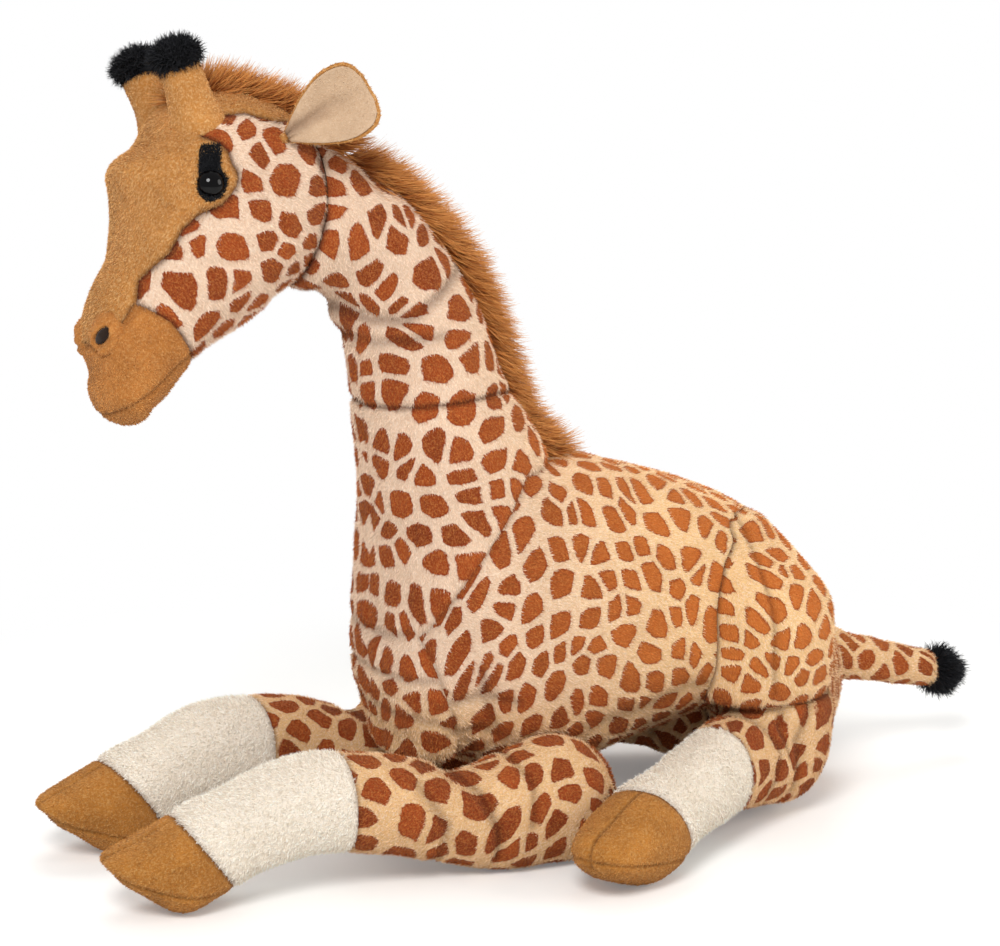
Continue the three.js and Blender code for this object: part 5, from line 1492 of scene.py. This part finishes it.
def leafOutline(share):
    # narrow at the root, widest past the middle, blunt at the end
    at = [0, 0.06, 0.16, 0.32, 0.48, 0.6, 0.72, 0.82, 0.9, 0.95, 0.98, 1]
    half = [0.14, 0.24, 0.44, 0.72, 0.92, 1.0, 1.0, 0.95, 0.82, 0.64, 0.42, 0.02]
    return float(np.mean(np.interp(np.clip(share + np.linspace(-0.04, 0.04, 9), 0, 1), at, half)))


def leaf(widthShare, lengthShare, thick, lift):
    def cupped(layer, share, wide):
        place = wide * 2 - 1
        reach = ear["stem"] + share * (ear["length"] - ear["stem"]) * lengthShare
        half = ear["halfWidth"] * widthShare * leafOutline(0.02 + share * 0.96)
        gather = math.exp(-share / 0.16)
        dish = ear["cup"] * (place * half / ear["halfWidth"]) ** 2 * (1 + 1.4 * gather)
        ripple = 1.1 * gather * math.cos(place * 9) + 0.7 * math.sin(share * 7 + place * 2)
        fold = -4.0 * math.exp(-((place - 0.12) / 0.2) ** 2) * math.sin(math.pi * min(share * 1.2, 1)) ** 1.3
        edge = math.sqrt(max(0.0, 1 - abs(place) ** 5)) * math.sqrt(max(0.0, 1 - share ** 9))
        offset = lift + (thick / 2 if layer else -thick / 2) * (0.25 + 0.75 * edge)
        return [reach, place * half, dish + ripple + fold + offset]
    return sheet(44, 26, cupped)


def makeEar(side, word):
    seatPoint, seatNormal = seatOn(smoothTree, (ear["x"], side * 400, ear["z"]), (0, -side, 0))
    along = unit([ear["length"], side * ear["sweepOut"], ear["rise"] * 1.4])
    out = np.array([-ear["tilt"], side * ear["length"], 0], float)
    out = unit(out - along * (out @ along))
    across = np.cross(out, along)
    origin = seatPoint + seatNormal * ear["rootRadius"] * 0.6

    def placed(name, form):
        piece = makeObject(name, placeOn(form[0], (origin, along, across, out)), form[1])
        outwardNormals(piece)
        return piece

    flap = placed(f"earPlush_{word}", leaf(1, 1, 3.6, 0))
    knob = placed("knob", ellipsoid([0, 0, -3.6], [4.6, 3.8, 3.8], 36))
    cut(flap, knob, "UNION")
    discard(knob)
    dress(flap, "tan", treeOf(flap), None, (1.0, 0, 0.2), 101 + side, cocked, {"Length": 0.0018})
    declare(flap, f"{word}_ear", f"ear_{word}", slot="tan_plush", fill=0.2)
    lining = placed(f"earLining_{word}", leaf(0.91, 0.965, 1.6, 2.3))
    # painted shade down the middle of the lining, where it folds, fading towards the tip
    dress(lining, "lining", treeOf(lining), None, (1.0, 0, 0.2), 103 + side, cocked,
          {"Length": 0.0012, "Lift": 0.35, "Density": 300000.0},
          lambda points: np.exp(-(((points - origin) @ across - 3) / 5) ** 2)
          * np.clip(1 - (points - origin) @ along / 58, 0, 1) * 0.7)
    declare(lining, f"{word}_ear", f"ear_lining_{word}", slot="lining_plush", fill=0.1)


for side, word in ((-1, "left"), (1, "right")):
    makeEye(side, word)
    makeNostril(side, word)
    makeHorn(side, word)
    makeEar(side, word)
    washer = frame["nodes"][f"eye_washer_{word}"].data.materials
    washer.clear()
    washer.append(materials["washer"])
print("eyes, horns and ears made")


# Mane: a strip of long-pile fur sewn along the nape and over the crown, parted at the nod

mane = {
    "halfWidth": 11, "core": 0.42,
    "neckRows": [
        [-0.84, 1.057, -0.84, 0.989], [-0.52, 1.024, -0.52, 0.957], [-0.12, 0.972, -0.25, 0.909],
        [0.27, 0.902, 0.05, 0.857], [0.60, 0.817, 0.36, 0.783], [0.84, 0.717, 0.58, 0.691],
        [1.02, 0.613, 0.72, 0.591], [1.19, 0.526, 0.92, 0.500], [1.42, 0.470, 1.20, 0.446]],
    "headRows": [
        [0.51, -0.190, 0.50, -0.060], [0.41, -0.222, 0.39, -0.060], [0.25, -0.196, 0.24, -0.030],
        [0.11, -0.140, 0.10, 0.012], [-0.03, -0.075, -0.03, 0.060]],
}
maneFur = {"Density": 2100000.0, "Length": 0.030, "Width": 0.0009, "Lift": 0.8, "Stray": 0.24,
           "Bend": 0.007, "Comb": (0.55, 0.0, -0.45), "Seed": 112}


def makeMane(name, shares, place, turn, fur):
    rows = []
    for outerX, outerZ, innerX, innerZ in shares:
        outer, inner = np.array(place(outerX, outerZ)), np.array(place(innerX, innerZ))
        top = inner + (outer - inner) * mane["core"]
        rows.append([top[0], 0, top[1], inner[0], 0, inner[1], mane["halfWidth"]])
    form = loft(rows, sideways, 2, 2, 40, 3.0)
    line = np.array([[(r[0] + r[3]) / 2, 0, (r[2] + r[5]) / 2] for r in rows])
    upper = np.array([[r[0] - r[3], 0, r[2] - r[5]] for r in rows])

    def onTop(middles):
        nearest = np.argmin(np.linalg.norm(middles[:, None, [0, 2]] - line[None, :, [0, 2]], axis=2), 1)
        return np.einsum("ij,ij->i", middles - line[nearest], upper[nearest]) > 0

    return furPiece(name, form["points"], form["faces"], "mane", fur, onTop, turn)


neckMane = makeMane("neckManeFur", mane["neckRows"], neckPlace, None, maneFur)
declare(neckMane, "body", "neck_mane", slot="mane_fur")
headMane = makeMane("headManeFur", mane["headRows"], onHeadSide, cocked,
                    {**maneFur, "Comb": (0.75, 0, 0.0), "Length": 0.027, "Seed": 113})
declare(headMane, "head", "head_mane", slot="mane_fur")
discard(bodyTool)
print("manes made")


# Floor, light and camera

def stage():
    board, tree, shader = newMaterial("paintedBoardWhite", {
        "Base Color": linear("#F4F4F2"), "Roughness": 0.9, "Specular IOR Level": 0.1,
        "Emission Color": (1, 1, 1, 1)})
    place = objectPlace(tree)
    seen = addNode(tree, "ShaderNodeLightPath").outputs["Is Camera Ray"]
    # seen by the camera the board is lifted to white, and still keeps the shadow
    setInputs(tree, shader, {"Normal": relief(tree, noiseOf(tree, place, 40.0, 3.0), 0.05, 0.001),
                             "Emission Strength": calc(tree, "MULTIPLY", seen, 0.16)})
    # past the shadow the board runs out into plain white
    fade = spread(tree, vectorCalc(tree, "LENGTH", place, output="Value"), 0.38, 0.74)
    white = addNode(tree, "ShaderNodeEmission", inputs={"Color": (1, 1, 1, 1), "Strength": 1.0})
    blend = addNode(tree, "ShaderNodeMixShader", inputs={
        0: calc(tree, "MULTIPLY", fade, seen), 1: shader.outputs["BSDF"], 2: white.outputs["Emission"]})
    output = next(n for n in tree.nodes if n.bl_idname == "ShaderNodeOutputMaterial")
    setInputs(tree, output, {"Surface": blend.outputs["Shader"]})
    mesh = bpy.data.meshes.new("floor")
    mesh.from_pydata([(-6, -6, 0), (6, -6, 0), (6, 6, 0), (-6, 6, 0)], [], [[0, 1, 2, 3]])
    floor = bpy.data.objects.new("floor", mesh)
    bpy.context.scene.collection.objects.link(floor)
    mesh.materials.append(board)

    world = bpy.data.worlds.new("studio")
    world.use_nodes = True
    tree = world.node_tree
    tree.nodes.clear()
    path = addNode(tree, "ShaderNodeLightPath").outputs
    direct = calc(tree, "MAXIMUM", path["Is Camera Ray"], path["Is Transmission Ray"])
    background = addNode(tree, "ShaderNodeBackground", inputs={
        "Color": (1, 1, 1, 1), "Strength": spread(tree, direct, 0.0, 1.0, 0.5, 1.0, False)})
    addNode(tree, "ShaderNodeOutputWorld", inputs={"Surface": background.outputs["Background"]})
    bpy.context.scene.world = world


lamps = [
    {"name": "key", "from": (-1.5, -2.0, 2.2), "size": 1.1, "power": 66.0, "colour": "#FFFFFF"},
    {"name": "fill", "from": (1.9, -1.8, 1.3), "size": 1.5, "power": 24.0, "colour": "#FFFBF6"},
    {"name": "top", "from": (0.4, 1.2, 2.4), "size": 1.6, "power": 18.0, "colour": "#FFFFFF"},
]


def light(lamp):
    data = bpy.data.lights.new(lamp["name"], "AREA")
    data.shape, data.size, data.energy = "DISK", lamp["size"], lamp["power"]
    data.color = linear(lamp["colour"])[:3]
    obj = bpy.data.objects.new(lamp["name"], data)
    obj.location = lamp["from"]
    obj.rotation_euler = (Vector((0, 0, 0.3)) - Vector(lamp["from"])).to_track_quat("-Z", "Y").to_euler()
    bpy.context.scene.collection.objects.link(obj)


def camera():
    data = bpy.data.cameras.new("camera")
    data.lens, data.sensor_width = cameraView["lens"], 36
    a, e = math.radians(cameraView["azimuth"]), math.radians(cameraView["elevation"])
    back = Vector((math.sin(a) * math.cos(e), -math.cos(a) * math.cos(e), math.sin(e)))
    obj = bpy.data.objects.new("camera", data)
    obj.location = Vector(cameraView["target"]) + back * cameraView["distance"]
    obj.rotation_euler = (-back).to_track_quat("-Z", "Y").to_euler()
    bpy.context.scene.collection.objects.link(obj)
    bpy.context.scene.camera = obj


stage()
for lamp in lamps:
    light(lamp)
camera()
bpy.context.scene.view_settings.view_transform = "Standard"
loads = {}
for obj in bpy.context.scene.objects:
    if obj.type == "MESH":
        corners = np.empty(len(obj.data.polygons), np.int32)
        obj.data.polygons.foreach_get("loop_total", corners)
        loads[obj.name] = int((corners - 2).sum())
heavy = sorted(loads, key=loads.get, reverse=True)[:10]
print("staged,", sum(loads.values()), "triangles:", ", ".join(f"{name} {loads[name]}" for name in heavy))
